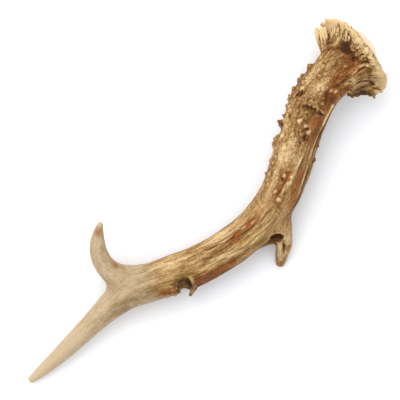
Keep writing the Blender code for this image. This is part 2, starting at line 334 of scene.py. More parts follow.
# Other pearls seen in the photo: distance, angle, radius, how long for its width.
PEARLS = [
    (26, 138, 1.3, 1.4), (23.3, 150, 1.2, 1.2), (29.8, 152, 1.1, 1.1), (34.8, 158, 1.1, 1.2),
    (36, 146, 1.2, 1.2), (41, 160, 1.2, 1.1), (35.4, 122, 1, 1.4), (37.7, 99, 0.9, 1.4),
    (30.4, 107, 1.1, 1.3), (29.6, 101, 0.9, 1.1), (30.2, 95, 1.1, 1), (29.2, 89, 1, 1.3),
    (30, 83, 1.2, 1.1), (29.4, 76, 0.9, 1), (30.6, 71, 1, 1.4), (30.8, 63, 0.9, 1.1),
    (28.2, 96, 0.8, 1.2), (27.8, 84, 0.8, 1.2), (33.6, 66, 1, 1), (27, 66, 0.9, 1.1),
    (24.6, 72, 0.8, 1.2), (44, 88, 1, 1.3), (47, 84, 0.8, 1.5), (47.8, 142, 1, 1), (48.6, 134, 0.9, 1.3),
    (45.3, 112, 0.8, 1.3), (54.3, 92, 0.8, 1.2), (58, 146, 0.9, 1.3), (62.2, 136, 0.9, 1.2),
    (66.2, 150, 1.1, 1.5), (69.4, 148, 1.1, 1.3), (63, 155, 1, 1.3), (71.8, 138, 0.9, 1.6),
    (67, 118, 0.8, 1.6), (61.5, 92, 0.8, 1.3), (70.4, 92, 0.8, 1.6), (13.5, 125, 0.9, 1.2),
    (17.6, 117, 0.8, 1.2), (12, 150, 1.1, 1.2), (15, 104, 0.8, 1.2), (13.6, 68, 0.8, 1.6),
    (9.2, 108, 0.9, 1), (139, 46, 1.2, 1), (139.8, 33, 1.2, 1), (142.2, 33, 1.1, 1.3),
    (145, 37, 0.9, 1.5),
]

# Lips and ridges laid on the beam: points of distance, angle, height above it and radius.
RAISED = [
    [(29.5, 143, -0.6, 0.7), (27, 138, -0.2, 0.9), (25.4, 130, -0.4, 0.8)],
    [(30.6, 108, -0.9, 0.9), (29.8, 96, -0.8, 1), (30.2, 82, -0.8, 1), (30.8, 68, -0.9, 0.9)],
    [
        (21, 26, -0.9, 0.6), (27.7, 30, -0.3, 0.7), (38.3, 36, -0.2, 0.7), (46.4, 40, -0.2, 0.7),
        (53, 38, -0.3, 0.7), (60, 37, -0.3, 0.6), (68.5, 38, -0.4, 0.6), (76, 38, -0.9, 0.5),
    ],
    [
        (53, 66, -0.8, 0.5), (57.5, 69, -0.3, 0.5), (64, 75, -0.3, 0.5), (68, 80, -0.1, 0.5),
        (72.5, 88, -0.1, 0.5), (77, 95, -0.8, 0.5),
    ],
    [(76.5, 88, -0.8, 0.5), (79.5, 93, -0.3, 0.5), (83.5, 98, -0.3, 0.5), (88, 102, -0.8, 0.5)],
    [(103, 110, -0.7, 0.5), (107.2, 113, -0.2, 0.55), (113.7, 120, -0.25, 0.55), (119, 123, -0.8, 0.5)],
    [(95, 112, -0.6, 0.4), (97, 113, -0.15, 0.4), (99.4, 114, -0.6, 0.4)],
    [(90.2, 104, -0.6, 0.4), (92, 105, -0.15, 0.4), (94.2, 106, -0.6, 0.4)],
    [(53.5, 4, -1.2, 1.2), (57, 4, -0.6, 1.5), (62.5, 5, -0.6, 1.5), (67, 6, -1.2, 1.2)],
    [(96, 56, -1.9, 1.6), (106.7, 67, -1.4, 1.9), (113.2, 78, -1.4, 1.9), (119.3, 88, -1.9, 1.6)],
]

# Grooves pressed into the beam: points of distance and angle, half width and depth.
PRESSED = [
    ([(5.5, 61), (9.4, 60), (13, 56)], 0.6, 0.5),
    ([(32.4, 109), (31.4, 103), (32, 97)], 0.65, 0.55),
    ([(31, 92), (31.8, 86), (31.2, 80)], 0.5, 0.4),
    ([(31.2, 66), (32.4, 58), (32.4, 48)], 0.5, 0.5),
    ([(28.8, 142), (27.6, 131)], 1.2, 1.2),
    ([(38.2, 142), (39, 139)], 0.7, 0.7),
    ([(45, 79), (46.2, 76)], 0.8, 0.6),
    ([(41.4, 81), (41, 77)], 0.6, 0.5),
    ([(24, 22), (38, 28), (48, 32), (58, 29), (68, 31)], 0.7, 0.5),
    ([(20.8, 66), (20.2, 60), (19.4, 52)], 0.7, 0.3),
    ([(62, 88), (66, 90), (70, 95), (75, 100)], 0.7, 0.15),
    ([(66.4, 103), (67, 100)], 0.6, 0.4),
    ([(64.8, 141), (67, 139)], 0.5, 0.2),
    ([(68.5, 135), (71, 132)], 0.5, 0.15),
    ([(61.5, 138), (63.5, 134)], 0.5, 0.2),
    ([(68, 154), (70, 152)], 0.5, 0.15),
    ([(55.5, 62), (62, 66)], 0.8, 0.25),
    ([(103.4, 108), (108, 111), (113.5, 117), (118, 120)], 0.4, 0.35),
    ([(84.5, 92), (90.6, 88)], 0.4, 0.2),
    ([(88, 100), (94, 98), (99, 101)], 0.4, 0.15),
    ([(96, 80), (104, 92), (112, 98)], 0.7, 0.15),
]
# Grooves pressed into the top as seen in plan: points of x and y, half width and depth.
PRESSED_IN_PLAN = [
    ([(-15.6, 30.8), (-13.4, 32.6), (-10.9, 34.4)], 0.6, 0.5),
    ([(-17.3, 28), (-16.6, 30), (-15.6, 31.4)], 0.6, 0.35),
    ([(-98.4, -15.4), (-98.2, -12.2)], 2, 1.2),
    ([(-98.4, -10.4), (-98, -6.4)], 1.8, 0.4),
]

# Stains, painted shade and pale patches on the beam: distance, angle, half length and half width in mm,
# strength.
RED_PATCHES = [
    (4, 84, 4, 3.6, 1), (7.5, 77, 4.5, 3.4, 1.1), (12.5, 71, 4, 2.6, 1.2), (14.5, 37, 5, 3.2, 0.8),
    (19, 40, 4, 3, 0.9), (17, 63, 3.6, 3, 1.3), (22.1, 55, 3.4, 4, 1.6), (21.2, 65, 2.6, 2.4, 1.2),
    (25.2, 52, 2.8, 3.2, 1.3), (28.4, 46, 2.2, 2.6, 1), (36, 57, 5, 4, 1), (43, 56, 5, 3.2, 0.7),
    (46.4, 69, 1.8, 1.6, 0.8), (43.4, 172, 2.6, 3, 0.7), (53, 172, 2, 2.4, 0.6), (28.5, 130, 2, 2, 0.5),
    (60, 95, 2.4, 1.6, 0.7), (63.5, 90, 2.6, 2, 1.1), (67, 92, 2.4, 1.9, 1), (66.6, 102, 1.6, 1.4, 0.9),
    (71, 97, 3, 1.7, 0.9), (75, 100, 3, 1.7, 1), (79, 104, 3, 1.9, 1.2), (83.4, 107, 3.4, 2.2, 1.2),
    (78, 84, 4, 1.4, 0.7), (88, 110, 4, 2.4, 1), (93.6, 109, 4.6, 3.2, 1.2), (102, 107, 5, 2.6, 1.2),
    (57.5, 53, 5, 3, 0.4), (64.5, 51, 6, 3, 0.8), (70, 52, 5, 3, 0.8), (75.5, 45, 5, 3.2, 0.9),
    (82, 40, 6, 3, 0.4), (110.6, 46, 3, 2.6, 1.1), (116.5, 42, 4.4, 3.6, 1.4), (122, 38, 4.4, 3.8, 1.5),
    (127.5, 40, 3, 3.4, 1.4), (131.8, 103, 2.2, 2, 0.7), (143.8, 42, 3.4, 3, 1.3), (140, 42, 3, 3, 1),
    (148, 30, 5, 2.6, 0.8),
]
# Brown stains with painted shade: narrow rows along the pressed grooves, and patches on the +Y side away
# from the window.
BROWN_AND_SHADE_PATCHES = [
    (32.2, 100, 1.8, 3.4, 0.9), (32.4, 82, 1.8, 3, 0.8), (32.4, 57, 1.5, 3.2, 0.9),
    (28.2, 137, 2, 2.4, 1.3), (23.6, 60, 2.6, 2.4, 1), (15.6, 76, 4, 2.2, 0.5),
    (38.6, 140, 1.2, 1.2, 0.9), (45.6, 77, 1.6, 1.6, 0.9), (41.2, 79, 1, 1.6, 0.6), (36, 88, 3, 3, 0.2),
    (20.4, 58, 1.5, 3.4, 0.9), (22.6, 47, 3.2, 3.6, 1.2), (21.4, 66, 2.8, 2.4, 1.1),
    (66, 138, 1.6, 1, 0.4), (70, 134, 1.6, 1, 0.3), (54, 6, 2.4, 2, 1.2), (43, 176, 3, 2.2, 0.6),
    (52.6, 177, 2.4, 1.8, 0.6), (38, 178, 7, 2.4, 0.5), (24, 172, 5, 2.4, 0.6), (31, 23, 7, 1.5, 1.2),
    (42, 27, 8, 1.6, 0.85), (52, 24, 7, 1.7, 0.45), (63, 26, 8, 1.5, 0.8), (73, 28, 6, 1.5, 0.7),
    (66, 40, 7, 1.6, 0.3), (58, 60, 5, 1.2, 0.4), (65, 91, 3, 1.2, 0.4), (66.6, 103, 1.2, 1.2, 0.5),
    (71, 84, 3, 0.9, 0.4), (103.7, 108, 5, 0.9, 0.5), (111.5, 113, 6, 0.7, 0.5), (113, 60, 8, 2.6, 0.3),
    (103, 56, 4.4, 3, 0.6), (122, 60, 7, 3, 0.35), (97.6, 102, 5, 2.4, 0.6), (88, 96, 5, 2.2, 0.4),
    (97, 80, 8, 4.4, 0.3), (105, 102, 7, 2.8, 0.6), (114, 104, 6, 2.4, 0.4), (97, 40, 4, 1.6, 0.8),
    (134.6, 66, 4, 4, 1.3), (131.4, 78, 5, 3.6, 1.1), (127, 62, 2.4, 2, 0.7), (5, 98, 3.6, 2.6, 0.8),
    (6, 132, 3, 3.4, 0.8), (9.5, 106, 3.4, 2.6, 0.5), (7.5, 60, 5, 0.9, 0.8), (14, 54, 4, 0.9, 0.5),
    (14, 32, 6, 3, 0.5), (143.5, 84, 4.4, 2.2, 0.5), (150.6, 70, 7, 2.4, 0.9), (160, 62, 9, 2.2, 1),
    (152, 100, 6, 1.4, 0.5), (168, 50, 8, 2, 0.8),
]
# Pale bone with painted highlights: thin lines along the raised ridges, and patches on the -Y side towards
# the window.
PALE_AND_HIGHLIGHT_PATCHES = [
    (21, 132, 6, 4, 0.5), (28.4, 118, 4, 4, 0.4), (65, 127, 4, 2.6, 0.8), (71, 124, 4, 2.4, 1),
    (77.4, 122, 6, 3.4, 1.4), (70.4, 130, 6, 4, 0.9), (82.5, 118, 6, 3.4, 1.05), (22.5, 104, 5, 4.2, 0.7),
    (26.6, 118, 4, 3, 0.5), (36, 112, 4, 4, 0.2), (49, 104, 5, 4, 0.5), (56.5, 116, 6, 5.4, 0.9),
    (70, 134, 6, 2.6, 0.6), (76.4, 138, 7, 3, 0.9), (88, 134, 8, 3, 0.4), (97, 130, 8, 3.6, 0.75),
    (107, 137, 12, 4.4, 1), (103, 36, 4.6, 2.2, 0.5), (112, 68, 5, 1.8, 0.35), (118.5, 72, 6, 2.2, 0.5),
    (95, 60, 7, 2.6, 0.4), (83, 30, 6, 5.4, 0.9), (88, 80, 8, 4, 0.35), (138, 124, 9, 4, 0.8),
    (128.6, 100, 7, 4, 0.5), (34, 34, 10, 0.9, 0.9), (50, 39, 10, 0.9, 0.9), (68, 38, 8, 0.8, 0.8),
    (57, 69, 4, 0.9, 1), (68, 78, 3.6, 0.7, 0.9), (72, 87, 4, 0.6, 1.6), (79.5, 93, 3, 0.6, 1),
    (84.5, 99, 3, 0.6, 1), (6, 69, 4, 1.2, 0.6), (11, 64, 4, 0.8, 0.5), (11, 46, 4, 0.7, 0.6),
    (26.4, 133, 2, 1.2, 0.9), (109, 115, 6, 0.5, 1.8), (97, 113, 2.4, 0.4, 1.2), (92, 105, 2.2, 0.4, 1.2),
    (87, 96, 2.2, 0.4, 1.1), (90.4, 118, 2.4, 0.4, 1), (136, 104, 6, 3.4, 0.8), (146, 96, 7, 3.4, 0.5),
]
# Stains and painted shade on the burr: angle, place from foot (0) to rim (1), half angle, half length,
# strength.
# Brown stains; the rows at 112, 132 and 152 degrees are painted shade under the burr's outer side, below the
# hanging teeth.
BURR_BROWN_AND_SHADE = [
    (290, 0.04, 22, 0.2, 1), (296, 0.32, 40, 0.12, 0.3), (345, 0.06, 16, 0.22, 1.2),
    (5, 0.1, 16, 0.26, 1.2), (13, 0.34, 8, 0.18, 1), (41, 0.45, 9, 0.24, 1.2), (350, 0.62, 3, 0.16, 0.8),
    (358, 0.5, 3, 0.14, 0.8), (6, 0.66, 3, 0.18, 0.9), (14, 0.56, 3, 0.16, 0.9), (20, 0.72, 4, 0.2, 0.9),
    (50, 0.55, 10, 0.25, 0.6), (62, 0.08, 8, 0.12, 1.3), (67, 0.24, 7, 0.12, 1.4),
    (74, 0.43, 6, 0.1, 1.2), (84, 0.56, 6, 0.1, 0.7), (98, 0.74, 8, 0.14, 1.2), (84, 0.26, 16, 0.24, 1.1),
    (112, 0.65, 16, 0.7, 1.6), (132, 0.6, 16, 0.8, 1.6), (152, 0.6, 14, 0.8, 1.3),
    (252, 0.3, 14, 0.4, 0.5),
]
BURR_PALE = [
    (286, 0.86, 24, 0.34, 1.5), (310, 0.95, 24, 0.34, 1), (345, 0.92, 22, 0.26, 0.6),
    (12, 0.95, 18, 0.24, 0.5), (50, 0.88, 14, 0.24, 0.8), (72, 0.84, 18, 0.22, 0.75),
    (27, 0.45, 5, 0.3, 0.5),
]
# Where the burr is free of streaks, and the lobe on it that is worn smooth, given in the same way.
BURR_SMOOTH = [
    (66, 0.6, 34, 0.6, 1), (350, 0.9, 50, 0.3, 0.5),
]
BURR_WORN = [
    (62, 0.6, 24, 0.5, 0.9),
]
# Stains given by place: x, y, z, how far they spread, and strength.
RED_SPOTS = [
    (-98.4, -9, 30.5, 4.4, 1.2), (-95.5, -4.5, 30, 4.6, 1.1), (-15.4, 27.6, 13, 2.2, 0.8),
    (-7.8, 36.2, 2, 3, 0.4), (40.4, -33.8, 22.2, 2.8, 0.8), (44.6, -23.6, 17, 2.2, 0.4),
    (45.2, -20.4, 16.4, 2.2, 0.5), (46.2, -17.2, 16, 2.4, 0.85), (44.6, -14.4, 15.6, 2.2, 0.6),
    (23.4, 14.2, 18, 3.4, 1.4), (24.4, 15.8, 14.4, 2.6, 1.3), (27.4, 16.4, 12.8, 2, 1.3),
    (20.4, 15.8, 17.6, 3.2, 0.9),
]
# Painted shade, given in the same way: in the burr's hollow, under its hanging teeth, in the front tine's
# crevice and round the stunted tine's notch.
PAINTED_SHADE_SPOTS = [
    (-98.2, -13.4, 29.3, 3.6, 1), (-98.8, -9.6, 30, 3, 0.95), (-98.2, -6, 30.4, 2.4, 0.5),
    (-87, 4.5, 11, 4.5, 0.6), (-91, 7.5, 14, 3.6, 0.6), (-94, 11.5, 16, 2.6, 0.5),
    (-15.8, 26.6, 13.6, 1.9, 1.5), (-13.6, 25.6, 12.6, 2, 0.9), (-12.6, 25.2, 12.2, 2.6, 0.75),
    (-9.4, 24, 12.2, 2.6, 0.6), (27.2, 12.2, 16, 3, 1.1), (30, 12.6, 14, 3, 0.55),
    (31.8, 11, 17, 2.4, 0.4), (27.2, 17, 12.6, 1.4, 0.8), (30.4, 15.4, 9.6, 2, 0.8),
    (24.6, 15.8, 14, 2.2, 0.7), (23.6, 13.8, 18.4, 1.8, 0.4), (30.8, 16.2, 11.2, 1.5, 1),
    (30, 8.5, 19.2, 2.8, 0.6), (28, 8.9, 19.8, 2.2, 0.75), (32.8, 8, 18.2, 2.6, 0.65),
]
# Pale places, given in the same way.
PALE_SPOTS = [
    (25, 10.6, 20.3, 0.8, 1.1), (25.3, 11.6, 19.6, 0.8, 1.1), (25.6, 12.6, 18.8, 0.8, 1.1),
    (26.1, 13.7, 17.4, 0.8, 1.1), (26.5, 14.8, 15.8, 0.8, 1.1), (-12.7, 33.7, 8, 3.6, 1.3),
    (-14.6, 30.4, 11.8, 2.4, 0.9), (-18.4, 30, 11, 3.2, 1.2), (-14, 32.4, 5, 3.6, 1.2),
    (-19.6, 26, 13, 3.6, 0.5),
]


# ---- Settings ----

def tone(red, green, blue):
    """A colour read on the 0 to 255 scale, as the linear values that shaders take."""
    parts = [part / 255 for part in (red, green, blue)]
    return tuple(part / 12.92 if part <= 0.04045 else ((part + 0.055) / 1.055) ** 2.4 for part in parts)


def colour_setting(name, description, red, green, blue):
    return FloatVectorProperty(
        name=name,
        description=description,
        subtype="COLOR",
        size=3,
        min=0.0,
        max=1.0,
        default=tone(red, green, blue),
    )


def length_setting(name, description, default, low, high):
    """A length given in millimetres."""
    return FloatProperty(
        name=name,
        description=description,
        default=default * MM,
        min=low * MM,
        max=high * MM,
        unit="LENGTH",
        precision=5,
    )


def count_setting(name, description, default, low, high):
    return IntProperty(name=name, description=description, default=default, min=low, max=high)


class AntlerShape(bpy.types.PropertyGroup):
    voxel: length_setting("Fineness", "Size of the grid that fuses limbs, burr and pearls", 0.3, 0.2, 2.0)
    triangles: count_setting("Triangles", "Most triangles in the finished mesh", 192000, 10000, 199000)
    fillet_rounds: count_setting("Fork softness", "How far the forks are rounded", 40, 0, 200)
    pearl_count: count_setting("Small pearls", "Number of small pearls scattered on the beam", 110, 0, 1000)
    furrow_depth: length_setting("Furrow depth", "Depth of the furrows along the beam", 0.55, 0.0, 2.0)
    grain_depth: length_setting("Grain depth", "Depth of the fine relief on the beam", 0.2, 0.0, 1.0)


class AntlerColours(bpy.types.PropertyGroup):
    # Pits and Grooves are the dark end of the beam's and burr's ramps, reached where stains, grain and
    # painted shade in the hollows lower the tone; Pits, darkened further, is also the painted shade laid on
    # last.
    pit: colour_setting("Pits", "Darkest brown, in the pits", 70, 42, 20)
    groove: colour_setting("Grooves", "Brown in the grooves", 92, 60, 28)
    tan: colour_setting("Beam", "Middle tan of the beam", 135, 98, 56)
    straw: colour_setting("Ridges", "Pale straw of the worn ridges", 178, 144, 98)
    worn: colour_setting("High spots", "Palest bone on the high spots", 212, 186, 146)
    red: colour_setting("Stain", "Reddish brown stain", 126, 73, 34)
    ochre: colour_setting("Burr grooves", "Ochre between the burr's teeth", 142, 104, 52)
    tine: colour_setting("Tines", "Cream of the smooth tines", 185, 163, 131)
    tine_shade: colour_setting("Tine shade", "Tan in the tines' grain", 150, 124, 88)
    burr: colour_setting("Burr", "Pale straw of the burr's teeth", 196, 167, 121)
    seal: colour_setting("Seal", "Cream of the seal under the burr", 240, 218, 186)


class AntlerStage(bpy.types.PropertyGroup):
    floor: colour_setting("Floor", "Colour of the surface it lies on", 240, 240, 241)
    sky: FloatProperty(
        name="Fill light",
        description="Strength of the even light from all round",
        default=1.16,
        min=0.0,
    )
    key: FloatProperty(
        name="Window light",
        description="Power of the large soft light",
        default=23.5,
        min=0.0,
        unit="POWER",
    )
    lens: FloatProperty(
        name="Lens",
        description="Focal length of the camera",
        default=240.0,
        min=20.0,
        unit="CAMERA",
    )


# ---- Smooth lines and simple closed shapes ----

def smooth_stations(stations, spacing):
    """Rows about spacing apart on a smooth curve through the stations."""
    knots = np.array(stations, float)
    rows = []
    for i in range(len(knots) - 1):
        before = knots[max(i - 1, 0)]
        start = knots[i]
        end = knots[i + 1]
        after = knots[min(i + 2, len(knots) - 1)]
        span = np.linalg.norm((end - start)[:3])
        lead = span / max(np.linalg.norm((end - before)[:3]), 1e-6) * (end - before)
        trail = span / max(np.linalg.norm((after - start)[:3]), 1e-6) * (after - start)
        steps = max(1, round(span / spacing))
        for t in np.arange(steps) / steps:
            rows.append(
                start * (2 * t**3 - 3 * t**2 + 1)
                + lead * (t**3 - 2 * t**2 + t)
                + end * (3 * t**2 - 2 * t**3)
                + trail * (t**3 - t**2)
            )
    rows.append(knots[-1])
    return np.array(rows)


class Limb:
    """A limb of the antler: its centre line and radii, with the directions along, across and up."""

    def __init__(self, stations, spacing=0.5):
        rows = smooth_stations(stations, spacing)
        self.centres = rows[:, :3]
        self.radii = rows[:, 3]
        steps = np.linalg.norm(np.diff(self.centres, axis=0), axis=1)
        self.lengths = np.concatenate([[0.0], np.cumsum(steps)])
        self.along = unit(np.gradient(self.centres, axis=0))
        self.across = unit(np.cross([0.0, 0.0, 1.0], self.along))
        self.up = np.cross(self.along, self.across)

    def unroll(self, points):
        """Each point's place on the straightened limb (along, across, up) and its depth in radii."""
        near = np.empty(len(points), int)
        for low in range(0, len(points), 4000):
            part = points[low : low + 4000]
            apart = ((part[:, None, :] - self.centres[None, ::2, :]) ** 2).sum(2)
            near[low : low + 4000] = apart.argmin(1) * 2
        away = points - self.centres[near]
        straight = np.stack(
            [
                self.lengths[near] + (away * self.along[near]).sum(1),
                (away * self.across[near]).sum(1),
                (away * self.up[near]).sum(1),
            ],
            axis=1,
        )
        depth = np.hypot(straight[:, 1], straight[:, 2]) / self.radii[near]
        return straight, depth

    def surface(self, distance, angle_deg, height=0.0):
        """The point over the limb's surface at a distance along it and an angle round it."""
        i = min(int(np.searchsorted(self.lengths, distance)), len(self.lengths) - 1)
        angle = math.radians(angle_deg)
        outward = self.across[i] * math.cos(angle) + self.up[i] * math.sin(angle)
        return self.centres[i] + outward * (self.radii[i] + height), outward, self.along[i]

    def stations(self, rows):
        """Stations for a finger over the surface, from rows of distance, angle, height and radius."""
        return [(*self.surface(*place)[0], radius) for *place, radius in rows]


def unit(rows):
    return rows / np.linalg.norm(rows, axis=-1, keepdims=True)


class Shapes:
    """Closed shapes gathered into one mesh."""

    def __init__(self):
        self.points = []
        self.faces = []

    def add(self, points, faces):
        start = len(self.points)
        self.points.extend(map(tuple, points))
        self.faces.extend(tuple(start + corner for corner in face) for face in faces)

    def loft(self, rings):
        """A closed skin over rings of points, with the first and last ring closed by a fan."""
        sides = len(rings[0])
        points = [point for ring in rings for point in ring]
        points += [np.mean(rings[0], axis=0), np.mean(rings[-1], axis=0)]
        first, last = len(points) - 2, len(points) - 1
        faces = []
        for row in range(len(rings) - 1):
            for k in range(sides):
                a = row * sides + k
                b = row * sides + (k + 1) % sides
                faces.append((a, b, b + sides, a + sides))
        end = (len(rings) - 1) * sides
        for k in range(sides):
            faces.append((first, (k + 1) % sides, k))
            faces.append((last, end + k, end + (k + 1) % sides))
        self.add(points, faces)

    def limb(self, limb, sides, step):
        angles = np.arange(sides) * 2 * math.pi / sides
        rings = []
        for i in [*range(0, len(limb.lengths) - 1, step), len(limb.lengths) - 1]:
            spokes = np.outer(np.cos(angles), limb.across[i]) + np.outer(np.sin(angles), limb.up[i])
            rings.append(limb.centres[i] + limb.radii[i] * spokes)
        self.loft(rings)

    def finger(self, stations, sides=8):
        """A short round spur through stations of x, y, z and radius, with rounded ends."""
        rows = smooth_stations(stations, FINGER_SPACING)
        heading = unit(np.gradient(rows[:, :3], axis=0))
        aside = unit(np.cross(heading, FINGER_SIDE))
        other = np.cross(heading, aside)
        angles = np.arange(sides) * 2 * math.pi / sides
        rings = []
        for row, ahead, a, b in zip(rows, heading, aside, other):
            rings.append(row[:3] + row[3] * (np.outer(np.cos(angles), a) + np.outer(np.sin(angles), b)))
        for end, sign in ((0, -1), (-1, 1)):
            centre = rows[end, :3]
            cap = centre + sign * heading[end] * rows[end, 3] * CAP_REACH + (rings[end] - centre) * CAP_SHARE
            rings.insert(0 if sign < 0 else len(rings), cap)
        self.loft(rings)

    def fingers(self, lines):
        for stations in lines:
            self.finger(stations)

    def pebble(self, centre, outward, along, radius, stretch):
        """A rough egg-shaped bump whose long side lies along the grain."""
        aside = np.cross(outward, along)
        sides, rows = 10, 6
        rings = []
        for row in range(1, rows):
            tilt = math.pi * row / rows
            ring = []
            for k in range(sides):
                turn = 2 * math.pi * k / sides
                way = (
                    outward * math.cos(tilt)
                    + along * stretch * math.sin(tilt) * math.cos(turn)
                    + aside * math.sin(tilt) * math.sin(turn)
                )
                lump = noise.noise(centre + PEBBLE_LUMP_SCALE * way)
                ring.append(centre + way * radius * (1 + PEBBLE_LUMPS * lump))
            rings.append(ring)
        self.loft(rings)

    def to_object(self, name):
        mesh = bpy.data.meshes.new(name)
        mesh.from_pydata(self.points, [], self.faces)
        return to_scene(name, mesh)


def to_scene(name, mesh):
    shape = bpy.data.objects.new(name, mesh)
    bpy.context.scene.collection.objects.link(shape)
    return shape


def baked(shape):
    """The shape with its modifiers applied."""
    depsgraph = bpy.context.evaluated_depsgraph_get()
    mesh = bpy.data.meshes.new_from_object(shape.evaluated_get(depsgraph))
    name = shape.name
    bpy.data.objects.remove(shape)
    mesh.name = name
    return to_scene(name, mesh)


def fused(shape, voxel):
    """The shape's overlapping parts fused into one skin."""
    fuse = shape.modifiers.new("Fuse", "REMESH")
    fuse.mode = "VOXEL"
    fuse.voxel_size = voxel
    return baked(shape)


def points_of(mesh):
    flat = np.empty(len(mesh.vertices) * 3, np.float32)
    mesh.vertices.foreach_get("co", flat)
    return flat.reshape(-1, 3).astype(float)


def normals_of(mesh):
    flat = np.empty(len(mesh.vertices) * 3, np.float32)
    mesh.vertex_normals.foreach_get("vector", flat)
    return flat.reshape(-1, 3).astype(float)


def set_points(mesh, points):
    mesh.vertices.foreach_set("co", points.astype(np.float32).ravel())
    mesh.update()


class Neighbours:
    """Averages values over the points that share an edge."""

    def __init__(self, mesh):
        pairs = np.empty(len(mesh.edges) * 2, np.int32)
        mesh.edges.foreach_get("vertices", pairs)
        self.a, self.b = pairs.reshape(-1, 2).T
        self.size = len(mesh.vertices)
        self.count = np.maximum(self.total(np.ones(self.size)), 1)

    def total(self, values):
        onto_a = np.bincount(self.a, values[self.b], self.size)
        return onto_a + np.bincount(self.b, values[self.a], self.size)

    def mean(self, rows):
        return np.stack([self.total(column) / self.count for column in rows.T], axis=1)


def smoothstep(low, high, values):
    t = np.clip((values - low) / (high - low), 0, 1)
    return t * t * (3 - 2 * t)


def noise_at(points, size, shift):
    """Smooth noise from about -1 to 1 whose lumps have that size along each axis."""
    places = points / np.asarray(size, float) + shift
    return np.array([noise.noise(place) for place in places.tolist()])


def line_distance(points, line):
    """How far each point is from a line of straight pieces, in plan of (along, round)."""
    best = np.full(len(points), 1e9)
    for start, end in zip(line, line[1:]):
        step = np.subtract(end, start)
        t = np.clip(((points - start) @ step) / max(step @ step, 1e-9), 0, 1)
        best = np.minimum(best, np.linalg.norm(points - start - t[:, None] * step, axis=1))
    return best


# ---- Growing the antler ----

def burr_axes():
    """The burr's middle and its directions: out along its axis, to its top, and to its +Y side."""
    turn = Matrix.Rotation(-BURR_YAW, 3, "Z") @ Matrix.Rotation(-BURR_PITCH, 3, "Y")
    outward = np.array(turn @ Vector((-1, 0, 0)))
    top = np.array(turn @ Vector((0, 0, 1)))
    return np.array(BURR_CENTRE), outward, top, np.cross(outward, top)


def burr_rim(angle_deg):
    """The rim's radius and reach, and the place of the flare's foot, at an angle round the burr."""
    table = np.array(BURR_RIM + [(BURR_RIM[0][0] + 360, *BURR_RIM[0][1:])], float)
    i = int(np.searchsorted(table[:, 0], angle_deg % 360, "right")) - 1
    t = smoothstep(table[i, 0], table[i + 1, 0], angle_deg % 360)
    return table[i, 1:] * (1 - t) + table[i + 1, 1:] * t


def burr_place(angle_deg, radius, height, shift=0.0):
    """A point given by its angle round the burr's axis, its radius and its height along the axis."""
    centre, outward, top, side = burr_axes()
    angle = math.radians(angle_deg)
    spoke = top * math.cos(angle) + side * math.sin(angle)
    return centre + outward * height + spoke * radius - side * shift


def flare_place(angle_deg, t, lift=0.0):
    """A point on the flare's beam side, from its foot (t = 0) to the rim (t = 1), raised by lift."""
    rim_radius, reach, foot = burr_rim(angle_deg)
    rise = np.array([rim_radius - FOOT_RADIUS, reach - foot])
    shares = [t**FLARE_WIDENING, 1 - (1 - min(t, 1.0)) ** FLARE_RISING]
    place = np.array([FOOT_RADIUS, foot]) + rise * shares
    raised = np.array([rise[1], -rise[0]]) / np.hypot(*rise)
    radius, height = place + raised * lift
    return burr_place(angle_deg, radius, height)


def flare_stations(rows):
    """Stations for a finger on the flare, from rows of angle, place from foot to rim, lift and radius."""
    return [(*flare_place(*place), radius) for *place, radius in rows]


def add_burr_body(shapes):
    """The flare, the rim and the domed seal, as one closed skin."""
    angles = [360 * k / BURR_SIDES for k in range(BURR_SIDES)]
    rings = []
    for part, height, follow in SEAL_PROFILE:
        ring = []
        for angle in angles:
            radius, reach, _ = burr_rim(angle)
            shift = SEAL_SHIFT * (1 - smoothstep(*SEAL_SHIFT_FADE, part))
            ring.append(burr_place(angle, radius * part, height + reach * follow, shift))
        rings.append(ring)
    for t in FLARE_RINGS:
        rings.append([flare_place(angle, t) for angle in angles])
    root = ROOT_SHARE * FOOT_RADIUS
    rings.append([burr_place(angle, root, burr_rim(angle)[2] - ROOT_DEPTH) for angle in angles])
    shapes.loft(rings)


def add_folds(shapes, stem, rng):
    """The folds of the flare, the teeth that hang below it and the ridges that run on to the beam."""
    for low, high, count, width, start, end, rise in FOLDS:
        for k in range(count):
            angle = low + (high - low) * (k + 0.5 + rng.uniform(-0.28, 0.28)) / count
            lean = rng.uniform(-1.6, 1.6)
            first = start + rng.uniform(0.0, 0.15)
            last = end + rng.uniform(-0.10, 0.03)
            radius = width * rng.uniform(0.75, 1.15)
            path = [
                (angle - lean, first, rise - 0.5 * radius, 0.6 * radius),
                (angle, 0.5 * (first + last), rise, radius),
                (angle + 0.4 * lean, last, rise - 0.3 * radius, 0.8 * radius),
            ]
            shapes.finger(flare_stations(path))
    for angle, tip, radius in HANGING_TEETH:
        root, knee = flare_place(angle, 0.40, -0.3), flare_place(angle, 0.90, 0.1)
        shapes.finger([(*root, 0.9 * radius), (*knee, radius), (*tip, 0.5 * radius)])
    for on_flare, on_beam in FLARE_RIDGES:
        shapes.finger(flare_stations(on_flare) + stem.stations(on_beam))


